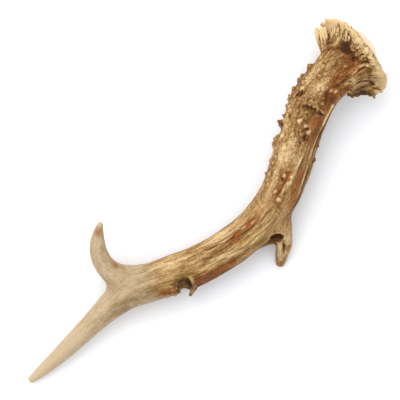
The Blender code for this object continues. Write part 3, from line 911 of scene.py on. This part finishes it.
def add_rim_knobs(shapes, rng):
    """Rough knobs that crowd the upper rim and spill on to the seal."""
    _, outward, _, _ = burr_axes()
    for _ in range(RIM_KNOBS):
        angle = rng.gauss(-8, 21)
        t = 1.0 - 0.62 * rng.random() ** 1.2
        place = flare_place(angle, t, rng.uniform(-0.2, 0.35))
        ahead = unit(flare_place(angle, t + 0.05) - flare_place(angle, t - 0.05))
        beside = unit(np.cross(ahead, outward))
        size = rng.uniform(0.7, 1.35) * (0.7 if angle > 8 else 1.0)
        shapes.pebble(place, np.cross(beside, ahead), ahead, size, rng.uniform(1.1, 2.0))
    for _ in range(SEAL_KNOBS):
        angle = rng.uniform(0, 360)
        rim_radius, reach, _ = burr_rim(angle)
        part = 1.0 - 0.14 * rng.random() ** 1.3
        follow = np.interp(part, SEAL_PARTS, SEAL_FOLLOWS)
        height = np.interp(part, SEAL_PARTS, SEAL_HEIGHTS) + reach * follow
        place = burr_place(angle, rim_radius * part, height - 0.25)
        ahead = unit(place - burr_place(angle, 0.5 * rim_radius, height))
        size = rng.uniform(0.55, 1.05) * (0.45 if 8 < angle < 100 else 1.0)
        shapes.pebble(place, outward, ahead, size, rng.uniform(1.0, 1.9))


def add_pearls(shapes, stem, count, rng):
    """The pearls and flakes seen in the photo, each with two small ones near it, and others scattered."""
    for distance, angle, radius, stretch in PEARLS + FLAKES:
        shapes.pebble(*stem.surface(distance, angle, -0.3 * radius), radius, stretch)
        for _ in range(2):
            near = stem.surface(distance + rng.gauss(0, 1.7), angle + rng.gauss(0, 10), -0.35 * radius)
            shapes.pebble(*near, radius * rng.uniform(0.3, 0.55), rng.uniform(0.9, 1.6))
    for distance, angle, length, radius in SPIKES:
        lean = rng.uniform(-0.5, 0.5)
        path = [(0.0, -0.8, 1.0), (0.3 * lean, 0.3 * length, 0.85), (lean, length, 0.42)]
        rows = [(distance + shift, angle, height, radius * share) for shift, height, share in path]
        shapes.finger(stem.stations(rows))
    for _ in range(count):
        distance = 4 + 84 * rng.random() ** 1.2
        angle = rng.gauss(205, 62)
        radius = rng.uniform(0.3, 0.75) * (1.0 if distance < 60 else 0.8)
        if 25 < angle % 360 < 75 and distance > 14:
            continue
        if 168 < angle % 360 < 192:
            radius *= 0.7
        shapes.pebble(*stem.surface(distance, angle, -0.45 * radius), radius, rng.uniform(0.9, 1.7))


def cutters():
    """What is cut away before the fine parts go on: the front tine's crevice, the stunted tine's notch."""
    shapes = Shapes()
    for height, radius in CREVICE_LEVELS:
        shapes.finger([(x, y, height, radius) for x, y in CREVICE])
    shapes.fingers(NOTCH)
    return fused(shapes.to_object("cutters"), CUTTER_VOXEL)


def limbs_skin(settings, limbs):
    """The limbs alone, with their forks rounded and the deep hollows cut."""
    shapes = Shapes()
    for limb, sides in zip(limbs, LIMB_SIDES):
        shapes.limb(limb, sides, LIMB_STEP)
    shapes.fingers(LIMB_FOLDS)
    skin = fused(shapes.to_object("limbs"), LIMB_VOXEL)
    mesh = skin.data
    near = Neighbours(mesh)
    points = points_of(mesh)
    forks = np.array(FORKS)
    apart = np.linalg.norm(points[:, None, :] - forks[None, :, :3], axis=2)
    share = (FORK_ROUNDING * (1 - smoothstep(*FORK_FADE, apart / forks[None, :, 3]))).max(1)
    for _ in range(settings.fillet_rounds):
        points += share[:, None] * (near.mean(points) - points)
    set_points(mesh, points)
    cut = skin.modifiers.new("Cut", "BOOLEAN")
    cut.operation = "DIFFERENCE"
    cut.solver = "MANIFOLD"
    knives = cutters()
    cut.object = knives
    carved = baked(skin)
    bpy.data.objects.remove(knives)
    return carved


def patches(table, stem, distance, arc):
    """Soft patches on the beam, each an oval by distance along it and by arc round it."""
    total = np.zeros(len(distance))
    for place, angle_deg, half_length, half_width, strength in table:
        middle = math.radians(angle_deg) * np.interp(place, stem.lengths, stem.radii)
        away = ((distance - place) / half_length) ** 2 + ((arc - middle) / half_width) ** 2
        total = np.maximum(total, strength * np.exp(-away))
    return total


def burr_patches(table, angle, up_flare):
    """Soft patches on the flare, by angle round the burr and place between foot and rim."""
    total = np.zeros(len(angle))
    for middle, place, half_angle, half_length, strength in table:
        turn = (angle - middle + 180) % 360 - 180
        away = (turn / half_angle) ** 2 + ((up_flare - place) / half_length) ** 2
        total = np.maximum(total, strength * np.exp(-away))
    return total


def spots(table, points):
    """Soft round spots in space."""
    total = np.zeros(len(points))
    for x, y, z, radius, strength in table:
        away = ((points - [x, y, z]) ** 2).sum(1) / radius**2
        total = np.maximum(total, strength * np.exp(-away))
    return total


class ANTLER_OT_bone(bpy.types.Operator):
    """Grow the antler: fuse its limbs, burr and pearls, carve its grain and colour the bone"""

    bl_idname = "antler.bone"
    bl_label = "Antler"

    def execute(self, context):
        settings = context.scene.antler_shape
        rng = random.Random(SEED)
        limbs = [Limb(STEM), Limb(REAR_TINE), Limb(FRONT_TINE)]
        stem = limbs[0]
        skin = limbs_skin(settings, limbs)
        shapes = Shapes()
        shapes.add(points_of(skin.data), [tuple(face.vertices) for face in skin.data.polygons])
        bpy.data.objects.remove(skin)
        add_burr_body(shapes)
        add_folds(shapes, stem, rng)
        add_rim_knobs(shapes, rng)
        shapes.fingers(LEFT_TEETH)
        add_pearls(shapes, stem, settings.pearl_count, rng)
        shapes.fingers(stem.stations(line) for line in RAISED)
        shapes.fingers(STUNTED_TINE)
        shapes.fingers(FRONT_TINE_FOLD)
        bone = fused(shapes.to_object("antler"), settings.voxel / MM)
        facts = carve(bone.data, limbs, settings)
        bone = thinned(bone, settings.triangles, facts)
        bone.data.transform(Matrix.Scale(MM, 4))
        bone.data.materials.clear()
        bone.data.materials.append(bone_material(context.scene.antler_colours))
        bone.data.shade_smooth()
        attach(bone, "root")
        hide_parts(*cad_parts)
        return {"FINISHED"}


class Places:
    """Where each point of the skin lies on the straightened limbs and on the burr, and the noises there."""

    def __init__(self, points, limbs):
        self.stem, rear, front = limbs
        self.straight, self.depth = self.stem.unroll(points)
        rear_straight, rear_depth = rear.unroll(points)
        front_straight, front_depth = front.unroll(points)
        self.on_rear = rear_depth < front_depth
        shifted = front_straight + FRONT_GRAIN_SHIFT
        self.tine_straight = np.where(self.on_rear[:, None], rear_straight, shifted)
        tine_depth = np.minimum(rear_depth, front_depth)
        self.tine = smoothstep(*TINE_FADE, self.depth / (self.depth + tine_depth))
        self.distance = self.straight[:, 0]
        self.angle = np.arctan2(self.straight[:, 2], self.straight[:, 1])
        radius = np.interp(self.distance, self.stem.lengths, self.stem.radii)
        self.arc = np.where(self.angle < -math.pi / 2, self.angle + 2 * math.pi, self.angle) * radius

        centre, outward, top, side = burr_axes()
        from_burr = points - centre
        self.out = from_burr @ outward
        self.spoke = np.hypot(from_burr @ top, from_burr @ side)
        self.burr_angle = np.degrees(np.arctan2(from_burr @ side, from_burr @ top)) % 360
        low, high = FLARE_OUTER_SIDE
        outer = (self.burr_angle > low) & (self.burr_angle < high)
        end = np.where(outer, FLARE_OUTER_END, FLARE_END)
        past_flare = smoothstep(end - FLARE_SOFTNESS, end, self.distance)
        on_flare = smoothstep(*FLARE_FADE, self.spoke) * (1 - past_flare)
        self.on_burr = np.maximum(on_flare, smoothstep(*RIM_FADE, self.out))
        every = np.arange(0, 361, 3)
        rim_radius = np.interp(self.burr_angle, every, [burr_rim(angle)[0] for angle in every])
        widened = np.clip((self.spoke - FOOT_RADIUS) / (rim_radius - FOOT_RADIUS), 0, 1.2)
        self.up_flare = widened ** (1 / FLARE_WIDENING)
        round_it = np.radians((self.burr_angle + 100) % 360) * FLARE_RADIUS
        flat = np.zeros(len(points))
        self.flare = np.stack([self.up_flare * FLARE_LENGTH, round_it, flat], axis=1)

        self.warp = noise_at(self.straight, *WARP)
        bent = self.straight + np.stack([flat, self.warp, -self.warp], axis=1) * 0.9
        self.lump = noise_at(bent, *LUMP)
        self.furrow = 1.0 - 2.6 * np.abs(noise_at(bent, *FURROW))
        self.ripple = noise_at(bent, *RIPPLE)
        rough = (1 - smoothstep(*ROUGH_END, self.distance)) * (1 - self.tine)
        rough = np.maximum(rough, 0.45 * self.tine * (1 - self.on_rear))
        self.beam = rough * (1 - self.on_burr)
        turn = np.degrees(self.arc / radius)
        flank = smoothstep(*FLANK_START, self.distance) * (1 - smoothstep(*FLANK_TOP, turn))
        flank *= smoothstep(*FLANK_BOTTOM, turn)
        self.pearly = (1 - smoothstep(*PEARLS_END, self.distance)) * (1 - self.tine)
        self.pearly *= 1 - 0.8 * flank


def relief(at, settings):
    """How far the furrows, grain and pleats raise the skin at each point, and how deep in a pleat it is."""
    coarse = settings.furrow_depth / MM
    fine = settings.grain_depth / MM
    fibre = noise_at(at.straight, *FIBRE)
    grit = noise_at(at.straight, *GRIT)
    lumps = (0.4 + 0.8 * at.pearly) * at.lump
    furrows = (1 - 0.7 * at.pearly) * (0.26 * at.furrow + 0.2 * at.ripple)
    height = at.beam * coarse * (lumps + furrows)
    grain = (0.45 - 0.2 * at.pearly) * fibre + (0.2 + 0.5 * at.pearly) * grit
    height += (0.10 + 0.90 * at.beam) * fine * grain
    height += at.on_burr * fine * 0.5 * grit
    valley = 1 - smoothstep(*PLEAT_EDGE, np.abs(noise_at(at.flare, *PLEAT)))
    below_rim = at.on_burr * (1 - smoothstep(*PLEAT_FADE, at.out))
    pleats = valley * burr_patches(PLEATED, at.burr_angle, at.up_flare) * below_rim
    height -= PLEAT_DEPTH * pleats
    return height, pleats


def press_grooves(height, at, points, normals):
    """Takes the listed grooves off the height."""
    round_it = np.radians((at.burr_angle + 180) % 360 - 180) * FLARE_RADIUS
    plan = np.stack([at.up_flare * FLARE_LENGTH, round_it], axis=1)
    inner, outer = GROOVED_SPOKE
    on_flare = (at.spoke < outer) * (at.out < GROOVED_BELOW) * (at.spoke > inner)
    for line, half_width, depth in FLARE_PRESSED:
        route = [(t * FLARE_LENGTH, math.radians(a) * FLARE_RADIUS) for a, t in line]
        gap = line_distance(plan, route) + 0.3 * at.warp
        height -= on_flare * depth * np.exp(-((gap / half_width) ** 2))

    wobble = 0.35 * at.warp + 0.3 * at.ripple
    plan = np.stack([at.distance, at.arc + wobble], axis=1)
    on_stem = (at.depth < GROOVED_DEPTH) & (at.tine < GROOVED_TINE)
    uneven = 0.75 + 0.6 * at.ripple
    for line, half_width, depth in PRESSED:
        route = [(d, math.radians(a) * np.interp(d, at.stem.lengths, at.stem.radii)) for d, a in line]
        gap = line_distance(plan, route)
        height -= on_stem * uneven * depth * np.exp(-((gap / half_width) ** 2))

    facing_up = smoothstep(0.0, 0.5, normals[:, 2])
    for line, half_width, depth in PRESSED_IN_PLAN:
        gap = line_distance(points[:, :2], line)
        height -= facing_up * depth * np.exp(-((gap / half_width) ** 2))


def hollows(mesh, near, points):
    """How far each point lies below its surroundings, close by, further out and widely."""
    normals = normals_of(mesh)
    mean = points
    found = []
    for rounds in HOLLOW_ROUNDS:
        for _ in range(rounds):
            mean = near.mean(mean)
        found.append(((mean - points) * normals).sum(1))
    return found


def facts_of(at, points, pleats, hollow):
    """What the finish needs to know at each point."""
    on_beam = (at.stem, at.distance, at.arc)
    on_flare = (at.burr_angle, at.up_flare)
    within = 1 - smoothstep(*SEAL_FADE, at.spoke + 0.8 * at.warp)
    seal = smoothstep(*SEAL_RISE, at.out + 0.2 * at.warp) * within
    # Painted shade: the beam is darker on its lower half, facing the floor.
    painted_underside_shade = 0.9 * (1 - smoothstep(-0.7, 0.15, np.sin(at.angle))) * at.beam
    wide = FLAKE_SPREAD
    flakes = [(place, angle, wide * size * long, wide * size, 1.0) for place, angle, size, long in FLAKES]
    # Pale bone, flakes and the painted highlights among the pale patches.
    light = np.maximum(patches(PALE_AND_HIGHLIGHT_PATCHES, *on_beam), patches(flakes, *on_beam)) * (1 - at.tine)
    light = np.maximum(light, spots(PALE_SPOTS, points))
    red = np.maximum(patches(RED_PATCHES, *on_beam) * (1 - at.tine), spots(RED_SPOTS, points))
    burr_smooth = 0.1 + 0.9 * burr_patches(BURR_SMOOTH, *on_flare)
    return {
        "grain": np.where(at.on_burr[:, None] > 0.5, at.flare + BURR_GRAIN_SHIFT, at.straight),
        "tine_grain": at.tine_straight,
        "tine": at.tine,
        "relief": at.beam * (0.5 * at.furrow + 0.5 * at.ripple + 0.3 * at.lump),
        "granular": np.where(at.on_burr > 0.5, burr_smooth, at.pearly),
        "hollow_fine": hollow[0],
        "hollow_mid": hollow[1],
        "hollow_wide": hollow[2],
        "red": red - 0.6 * light,
        # Brown stains mixed with painted shade: along the grooves, on the +Y side and on the beam's
        # underside.
        "brown": np.maximum(patches(BROWN_AND_SHADE_PATCHES, *on_beam), painted_underside_shade),
        "light": light,
        # Painted shade in the valleys between the burr's pleats.
        "gap": pleats,
        # Painted shade in the burr's hollow, under its teeth, in the crevice and round the notch.
        "dark": spots(PAINTED_SHADE_SPOTS, points),
        "pale": pale_of(at.distance, np.degrees(at.angle), at.tine, at.on_rear),
        "burr": at.on_burr * (1 - seal),
        "rim": at.up_flare,
        # Stains on the burr, with painted shade under its outer side.
        "burr_brown": burr_patches(BURR_BROWN_AND_SHADE, *on_flare),
        "burr_pale": burr_patches(BURR_PALE, *on_flare),
        "tip": smoothstep(*TIP_FADE, at.distance) * (1 - at.tine),
        "seal": seal,
    }


def carve(mesh, limbs, settings):
    """Presses the furrows, grain and hollows into the skin. Returns what the finish needs at each point."""
    near = Neighbours(mesh)
    points = points_of(mesh)
    for _ in range(SKIN_ROUNDS):
        points += SKIN_SHARE * (near.mean(points) - points)
    at = Places(points, limbs)
    worn = at.on_burr * burr_patches(BURR_WORN, at.burr_angle, at.up_flare)
    worn *= 1 - smoothstep(*WORN_FADE, at.out)
    for _ in range(WORN_ROUNDS):
        points += worn[:, None] * (near.mean(points) - points)
    set_points(mesh, points)
    normals = normals_of(mesh)
    height, pleats = relief(at, settings)
    press_grooves(height, at, points, normals)
    points += normals * height[:, None]
    points[:, 2] = np.maximum(points[:, 2], 0.0)
    set_points(mesh, points)
    return facts_of(at, points, pleats, hollows(mesh, near, points))


def pale_of(distance, angle, tine, on_rear):
    """How far the beam's tan has given way to the tines' cream."""
    lower_edge = np.exp(-(((angle - CREAM_DELAY_ANGLE) / CREAM_DELAY_SPREAD) ** 2))
    fork = smoothstep(*CREAM_FADE, distance - CREAM_DELAY * lower_edge)
    side = np.where(on_rear, REAR_CREAM, FRONT_CREAM)
    return fork * (1 - tine) + side * tine


def thinned(bone, triangles, facts):
    """The bone with fewer triangles, keeping most where it bends most, and the facts at its points."""
    full = points_of(bone.data)
    tree = kdtree.KDTree(len(full))
    for i, point in enumerate(full.tolist()):
        tree.insert(point, i)
    tree.balance()
    corners = sum(len(face.vertices) - 2 for face in bone.data.polygons)
    if corners > triangles:
        thin = bone.modifiers.new("Thin", "DECIMATE")
        thin.ratio = triangles / corners
        bone = baked(bone)
    nearest = np.array([tree.find(point)[1] for point in points_of(bone.data).tolist()])
    for name, values in facts.items():
        kind = "FLOAT_VECTOR" if values.ndim == 2 else "FLOAT"
        layer = bone.data.attributes.new(name, kind, "POINT")
        field = "vector" if values.ndim == 2 else "value"
        layer.data.foreach_set(field, values[nearest].astype(np.float32).ravel())
    return bone


# ---- Finishes ----

class Nodes:
    """Adds nodes to one shader tree and joins them."""

    def __init__(self, tree):
        self.tree = tree

    def add(self, kind, feeds=None, **settings):
        node = self.tree.nodes.new(kind if kind.startswith("NodeGroup") else "ShaderNode" + kind)
        for name, value in settings.items():
            setattr(node, name, value)
        for socket, value in (feeds or {}).items():
            self.feed(node.inputs[socket], value)
        return node

    def feed(self, socket, value):
        if isinstance(value, bpy.types.NodeSocket):
            self.tree.links.new(value, socket)
        else:
            socket.default_value = value

    def fact(self, name, output="Fac"):
        """A value kept at each point of the mesh."""
        return self.add("Attribute", attribute_name=name, attribute_type="GEOMETRY").outputs[output]

    def math(self, operation, a, b):
        return self.add("Math", {0: a, 1: b}, operation=operation).outputs[0]

    def sum(self, base, *parts):
        """A base number and (value, weight) pairs, added up."""
        total = base
        for value, weight in parts:
            node = self.add("Math", {0: value, 1: weight, 2: total}, operation="MULTIPLY_ADD")
            total = node.outputs[0]
        return total

    def spread(self, value, low, high, to_low=0.0, to_high=1.0):
        """The value's way from low to high, eased at both ends."""
        sockets = {0: value, 1: low, 2: high, 3: to_low, 4: to_high}
        return self.add("MapRange", sockets, interpolation_type="SMOOTHSTEP").outputs[0]

    def mix(self, factor, a, b, blend="MIX"):
        node = self.add("Mix", data_type="RGBA", blend_type=blend)
        self.feed(node.inputs[0], factor)
        self.feed(node.inputs[6], a)
        self.feed(node.inputs[7], b)
        return node.outputs[2]

    def ramp(self, value, stops):
        node = self.add("ValToRGB", {0: value})
        ramp = node.color_ramp
        while len(ramp.elements) < len(stops):
            ramp.elements.new(0.5)
        for element, (position, colour) in zip(ramp.elements, stops):
            element.position = position
            element.color = (*colour, 1.0)
        return node.outputs[0]


# The noises in the bone's grain: name, lumps to a millimetre along and across the limb, detail, roughness.
GRAIN = [
    ("Clouds", 0.035, 0.16, 2.0, 0.5),
    ("Streaks", 0.07, 0.80, 5.0, 0.66),
    ("Fibres", 0.26, 2.1, 3.0, 0.6),
    ("Patches", 0.17, 0.30, 3.0, 0.55),
    ("Mottle", 0.55, 0.75, 2.0, 0.5),
    ("Specks", 1.3, 2.2, 3.0, 0.65),
]


def grain_group():
    """Bone grain, from broad clouds to fine specks, at a place on a straightened limb in millimetres."""
    group = bpy.data.node_groups.new("Bone grain", "ShaderNodeTree")
    group.interface.new_socket("Place", in_out="INPUT", socket_type="NodeSocketVector")
    size = group.interface.new_socket("Streak width", in_out="INPUT", socket_type="NodeSocketFloat")
    size.default_value = 1.0
    for name, *_ in GRAIN:
        group.interface.new_socket(name, in_out="OUTPUT", socket_type="NodeSocketFloat")
    nodes = Nodes(group)
    into = nodes.add("NodeGroupInput")
    out = nodes.add("NodeGroupOutput")
    shrink = nodes.math("DIVIDE", 1.0, into.outputs["Streak width"])
    for name, lengthways, across, detail, rough in GRAIN:
        stretch = (lengthways, across, across)
        scaled = nodes.add("VectorMath", {0: into.outputs["Place"], 1: stretch}, operation="MULTIPLY")
        texture = nodes.add(
            "TexNoise",
            {"Vector": scaled.outputs[0], "Scale": shrink, "Detail": detail, "Roughness": rough},
        )
        nodes.feed(out.inputs[name], texture.outputs[0])
    return group


def place_grain(nodes, group, place, width):
    node = nodes.add("Group", node_tree=group)
    nodes.feed(node.inputs["Place"], place)
    nodes.feed(node.inputs["Streak width"], width)
    return node


# Each tone is a number to start from and what is added to it: facts kept on the mesh, grains and other
# tones, each with its weight. A x B is the product of two of them.
TONES = {
    # How deep a point lies in a hollow. Through pits, and the hollow weights of the tines' tone, it lays
    # painted shade in the hollows.
    "depth": (0.0, {"hollow_fine": 2.2, "hollow_mid": 1.2, "hollow_wide": 0.4}),
    "smooth": (1.0, {"granular": -0.78}),
    # In the beam's tone pits and brown lay painted shade in hollows, grooves and underneath, among the
    # stains; light adds pale bone and painted highlights.
    "beam tone": (0.475, {
        "relief": 0.10, "Clouds": 0.60, "Streaks x smooth": 0.95, "Fibres x smooth": 0.80, "Mottle": 0.20,
        "Mottle x granular": 0.40, "Patches x granular": 0.66, "Specks": 0.78, "Specks x granular": 0.3,
        "pits": -0.34, "light": 0.28, "brown": -0.30,
    }),
    # In the tines' tone the hollow weights lay painted shade in the hollows, and brown adds stains with
    # painted shade underneath.
    "tine tone": (0.55, {
        "Streaks": 0.65, "Fibres": 0.5, "Patches": 0.4, "Specks": 0.55, "hollow_fine": -1.5,
        "hollow_mid": -0.5, "hollow_wide": -0.12, "brown": -0.26, "tip": 0.22,
    }),
    "cream": (-0.15, {"pale": 1.3, "Streaks": 1.6}),
    "stain": (-0.06, {
        "red": 1.2, "Streaks x smooth": 1.0, "Mottle": 0.6, "Fibres x smooth": 0.6, "hollow_mid": 0.4,
    }),
    # In the burr's tone the brown patches add stains and painted shade under the outer side, and the pleats'
    # gaps add painted shade.
    "burr tone": (0.26, {
        "rim": 0.34, "burr_pale": 0.22, "burr_brown": -0.34, "gap": -0.34, "Streaks x smooth": 1.0,
        "Fibres x smooth": 0.5, "Patches": 0.5, "Mottle": 0.6, "Specks": 0.6, "pits": -0.48,
    }),
    # Painted shade, mottled by the specks: the shade spots and the hollows, laid on last with the darkened
    # pit colour.
    "shadow": (-0.05, {"dark": 1.2, "Specks": 0.7, "hollow_mid": 0.4}),
    "roughness": (0.68, {"beam tone": -0.12, "Fibres": 0.25, "pale": -0.14}),
    "bump": (0.0, {"Streaks x smooth": 0.6, "Fibres x smooth": 0.5, "Mottle": 0.35, "Specks": 0.65}),
    "bump share": (0.85, {"pale": -0.65, "seal": -0.5}),
}
# Ramps from a tone to its colours: the place on the ramp, the colour's setting, and a share it is made
# darker or lighter by.
RAMPS = {
    "beam tone": [(0, "pit", 1), (0.25, "groove", 1), (0.5, "tan", 1), (0.74, "straw", 1), (1, "worn", 1)],
    "tine tone": [(0.05, "tine_shade", 0.6), (0.4, "tine_shade", 1), (0.68, "tine", 1), (1, "tine", 1.15)],
    "burr tone": [
        (0, "pit", 1), (0.2, "groove", 1), (0.42, "ochre", 1), (0.68, "burr", 1), (1, "burr", 1.25),
    ],
}
OLIVE_TINT = (0.98, 1.0, 0.80, 1.0)
OLIVE_SHARE = 0.55
# How bright the stain is for the beam's tone under it.
STAIN_SHADE = 1.9
BUMP_DEPTH = 0.3 * MM
BUMP_LEAST = 0.15
BONE_SHINE = 0.08


def shaded(colour, share):
    """The colour made darker or lighter by a share."""
    return tuple(min(part * share, 1.0) for part in colour[:3])


class BoneNodes(Nodes):
    """The bone's nodes, with each grain, fact and tone kept by its name."""

    def __init__(self, tree):
        super().__init__(tree)
        self.values = {}

    def value(self, name):
        """A grain, a tone, a fact or the product of two of them, made when it is first asked for."""
        if name not in self.values:
            if " x " in name:
                first, second = name.split(" x ")
                made = self.math("MULTIPLY", self.value(first), self.value(second))
            elif name in TONES:
                base, weights = TONES[name]
                made = self.sum(base, *[(self.value(part), weight) for part, weight in weights.items()])
            else:
                made = self.fact(name)
            self.values[name] = made
        return self.values[name]

    def ramp_of(self, tone, colours):
        stops = [(place, shaded(getattr(colours, name), share)) for place, name, share in RAMPS[tone]]
        return self.ramp(self.value(tone), stops)

    def add_grains(self):
        """The grain along the beam or along a tine, whichever a point is on, each about 0."""
        group = grain_group()
        beam = place_grain(self, group, self.fact("grain", "Vector"), 1.0)
        side = place_grain(self, group, self.fact("tine_grain", "Vector"), 1.3)
        for name, *_ in GRAIN:
            node = self.add("Mix", data_type="FLOAT")
            self.feed(node.inputs[0], self.value("tine"))
            self.feed(node.inputs[2], beam.outputs[name])
            self.feed(node.inputs[3], side.outputs[name])
            self.values[name] = self.math("SUBTRACT", node.outputs[0], 0.5)
        # Painted shade: the deeper a point lies in a hollow, the darker the beam and the burr.
        self.values["pits"] = self.spread(self.value("depth"), -0.7, 1.1, -0.7, 1.0)


def bone_colour(nodes, colours):
    """The beam's tan, the tines' cream, the stains, the burr, the seal and the painted shade in hollows,
    crevices and under the burr, in turn.
    """
    olive = nodes.math("MULTIPLY", nodes.spread(nodes.value("Clouds"), -0.02, 0.14), OLIVE_SHARE)
    beam_colour = nodes.mix(olive, nodes.ramp_of("beam tone", colours), OLIVE_TINT, "MULTIPLY")
    cream = nodes.spread(nodes.value("cream"), 0.1, 0.9)
    colour = nodes.mix(cream, beam_colour, nodes.ramp_of("tine tone", colours))
    shade = nodes.math("MULTIPLY", nodes.value("beam tone"), STAIN_SHADE)
    red_colour = nodes.mix(1.0, (*colours.red, 1.0), shade, "MULTIPLY")
    colour = nodes.mix(nodes.spread(nodes.value("stain"), 0.0, 1.1, 0.0, 0.9), colour, red_colour)
    colour = nodes.mix(nodes.value("burr"), colour, nodes.ramp_of("burr tone", colours))
    specks = nodes.spread(nodes.value("Specks"), -0.15, 0.1)
    seal_colour = nodes.mix(specks, (*shaded(colours.seal, 0.86), 1.0), (*colours.seal, 1.0))
    colour = nodes.mix(nodes.value("seal"), colour, seal_colour)
    shadow = nodes.spread(nodes.value("shadow"), 0.1, 1.0, 0.0, 0.88)
    return nodes.mix(shadow, colour, (*shaded(colours.pit, 0.7), 1.0))


def bone_material(colours):
    material = bpy.data.materials.new("antler_bone")
    material.use_nodes = True
    tree = material.node_tree
    tree.nodes.clear()
    nodes = BoneNodes(tree)
    nodes.add_grains()
    colour = bone_colour(nodes, colours)
    share = nodes.math("MAXIMUM", nodes.value("bump share"), BUMP_LEAST)
    bump = nodes.add("Bump", {"Height": nodes.math("MULTIPLY", nodes.value("bump"), share)})
    bump.inputs["Strength"].default_value = 1.0
    bump.inputs["Distance"].default_value = BUMP_DEPTH
    shader = nodes.add("BsdfPrincipled", {"Base Color": colour, "Roughness": nodes.value("roughness")})
    nodes.feed(shader.inputs["Normal"], bump.outputs[0])
    shader.inputs["Specular IOR Level"].default_value = BONE_SHINE
    out = nodes.add("OutputMaterial")
    nodes.feed(out.inputs["Surface"], shader.outputs[0])
    return material


# ---- The stage ----

VIEW_CENTRE = Vector((-2.93, -11.25, 14.0)) * MM
VIEW_WIDTH = 184.0 * MM
SENSOR_WIDTH = 36.0
FLOOR_SIZE = 6.0
FLOOR_DROP = 0.03 * MM
FLOOR_GLOW = 0.06
FLOOR_CLOUD_SCALE = 9.0
FLOOR_CLOUD_SHADE = 0.99
CAMERA_TURN = math.radians(135)
# The large soft light's place, aimed at the antler, and its width.
WINDOW_PLACE = (-0.3, -1.25, 1.8)
WINDOW_SIZE = 2.2
# The even light: its colour, its share at the horizon, how much it gains up to the top, and how much
# towards the side that the window is on.
SKY_COLOUR = (0.95, 0.97, 1.0, 1.0)
SKY_LOW = 0.6
SKY_RISE = 0.6
SKY_SIDE = 0.22


def add_floor(colour):
    half = FLOOR_SIZE / 2
    corners = [(-half, -half, 0), (half, -half, 0), (half, half, 0), (-half, half, 0)]
    mesh = bpy.data.meshes.new("floor")
    mesh.from_pydata(corners, [], [(0, 1, 2, 3)])
    floor = to_scene("floor", mesh)
    floor.location.z = -FLOOR_DROP
    material = bpy.data.materials.new("floor_white")
    material.use_nodes = True
    nodes = Nodes(material.node_tree)
    shader = material.node_tree.nodes["Principled BSDF"]
    place = nodes.add("TexCoord").outputs["Object"]
    cloud = nodes.add("TexNoise", {"Vector": place, "Scale": FLOOR_CLOUD_SCALE, "Detail": 2.0}).outputs[0]
    tint = nodes.mix(cloud, (*colour, 1.0), (*shaded(colour, FLOOR_CLOUD_SHADE), 1.0))
    nodes.feed(shader.inputs["Base Color"], tint)
    nodes.feed(shader.inputs["Emission Color"], tint)
    shader.inputs["Emission Strength"].default_value = FLOOR_GLOW
    shader.inputs["Roughness"].default_value = 0.9
    shader.inputs["Specular IOR Level"].default_value = 0.1
    mesh.materials.append(material)


def add_light(name, place, size, power):
    data = bpy.data.lights.new(name, "AREA")
    data.shape = "DISK"
    data.size = size
    data.energy = power
    light = bpy.data.objects.new(name, data)
    light.location = place
    light.rotation_euler = (-Vector(place)).to_track_quat("-Z", "Y").to_euler()
    bpy.context.scene.collection.objects.link(light)


def add_camera(lens):
    data = bpy.data.cameras.new("camera")
    data.sensor_width = SENSOR_WIDTH
    data.lens = lens
    data.clip_end = 20.0
    camera = bpy.data.objects.new("camera", data)
    camera.location = VIEW_CENTRE + Vector((0, 0, VIEW_WIDTH * lens / SENSOR_WIDTH))
    camera.rotation_euler = (0.0, 0.0, CAMERA_TURN)
    bpy.context.scene.collection.objects.link(camera)
    bpy.context.scene.camera = camera


def add_sky(strength):
    world = bpy.data.worlds.new("studio")
    world.use_nodes = True
    sky = world.node_tree.nodes["Background"]
    sky.inputs["Color"].default_value = SKY_COLOUR
    nodes = Nodes(world.node_tree)
    way = nodes.add("SeparateXYZ", {0: nodes.add("TexCoord").outputs["Generated"]}).outputs
    parts = [(way["Z"], SKY_RISE * strength), (way["Y"], -SKY_SIDE * strength)]
    nodes.feed(sky.inputs["Strength"], nodes.sum(SKY_LOW * strength, *parts))
    bpy.context.scene.world = world


class ANTLER_OT_stage(bpy.types.Operator):
    """Set up the pale surface, the soft studio light and the camera above"""

    bl_idname = "antler.stage"
    bl_label = "Stage"

    def execute(self, context):
        stage = context.scene.antler_stage
        add_floor(tuple(stage.floor))
        add_sky(stage.sky)
        add_light("window", WINDOW_PLACE, WINDOW_SIZE, stage.key)
        add_camera(stage.lens)
        context.scene.view_settings.view_transform = "Standard"
        context.scene.view_settings.look = "None"
        return {"FINISHED"}


class ANTLER_PT_panel(bpy.types.Panel):
    """The antler's settings and the buttons that make it"""

    bl_label = "Deer Antler"
    bl_idname = "ANTLER_PT_panel"
    bl_space_type = "VIEW_3D"
    bl_region_type = "UI"
    bl_category = "Antler"

    def draw(self, context):
        scene = context.scene
        for title, group, operator in (
            ("Shape", scene.antler_shape, ANTLER_OT_bone),
            ("Colours", scene.antler_colours, None),
            ("Stage", scene.antler_stage, ANTLER_OT_stage),
        ):
            box = self.layout.box()
            box.label(text=title)
            for name in group.__annotations__:
                box.prop(group, name)
            if operator is not None:
                box.operator(operator.bl_idname)


CLASSES = (AntlerShape, AntlerColours, AntlerStage, ANTLER_OT_bone, ANTLER_OT_stage, ANTLER_PT_panel)


def register():
    for kind in CLASSES:
        bpy.utils.register_class(kind)
    bpy.types.Scene.antler_shape = PointerProperty(type=AntlerShape)
    bpy.types.Scene.antler_colours = PointerProperty(type=AntlerColours)
    bpy.types.Scene.antler_stage = PointerProperty(type=AntlerStage)


def unregister():
    del bpy.types.Scene.antler_stage
    del bpy.types.Scene.antler_colours
    del bpy.types.Scene.antler_shape
    for kind in reversed(CLASSES):
        bpy.utils.unregister_class(kind)


def main():
    register()
    bpy.ops.antler.bone()
    bpy.ops.antler.stage()


if __name__ == "__main__":
    main()
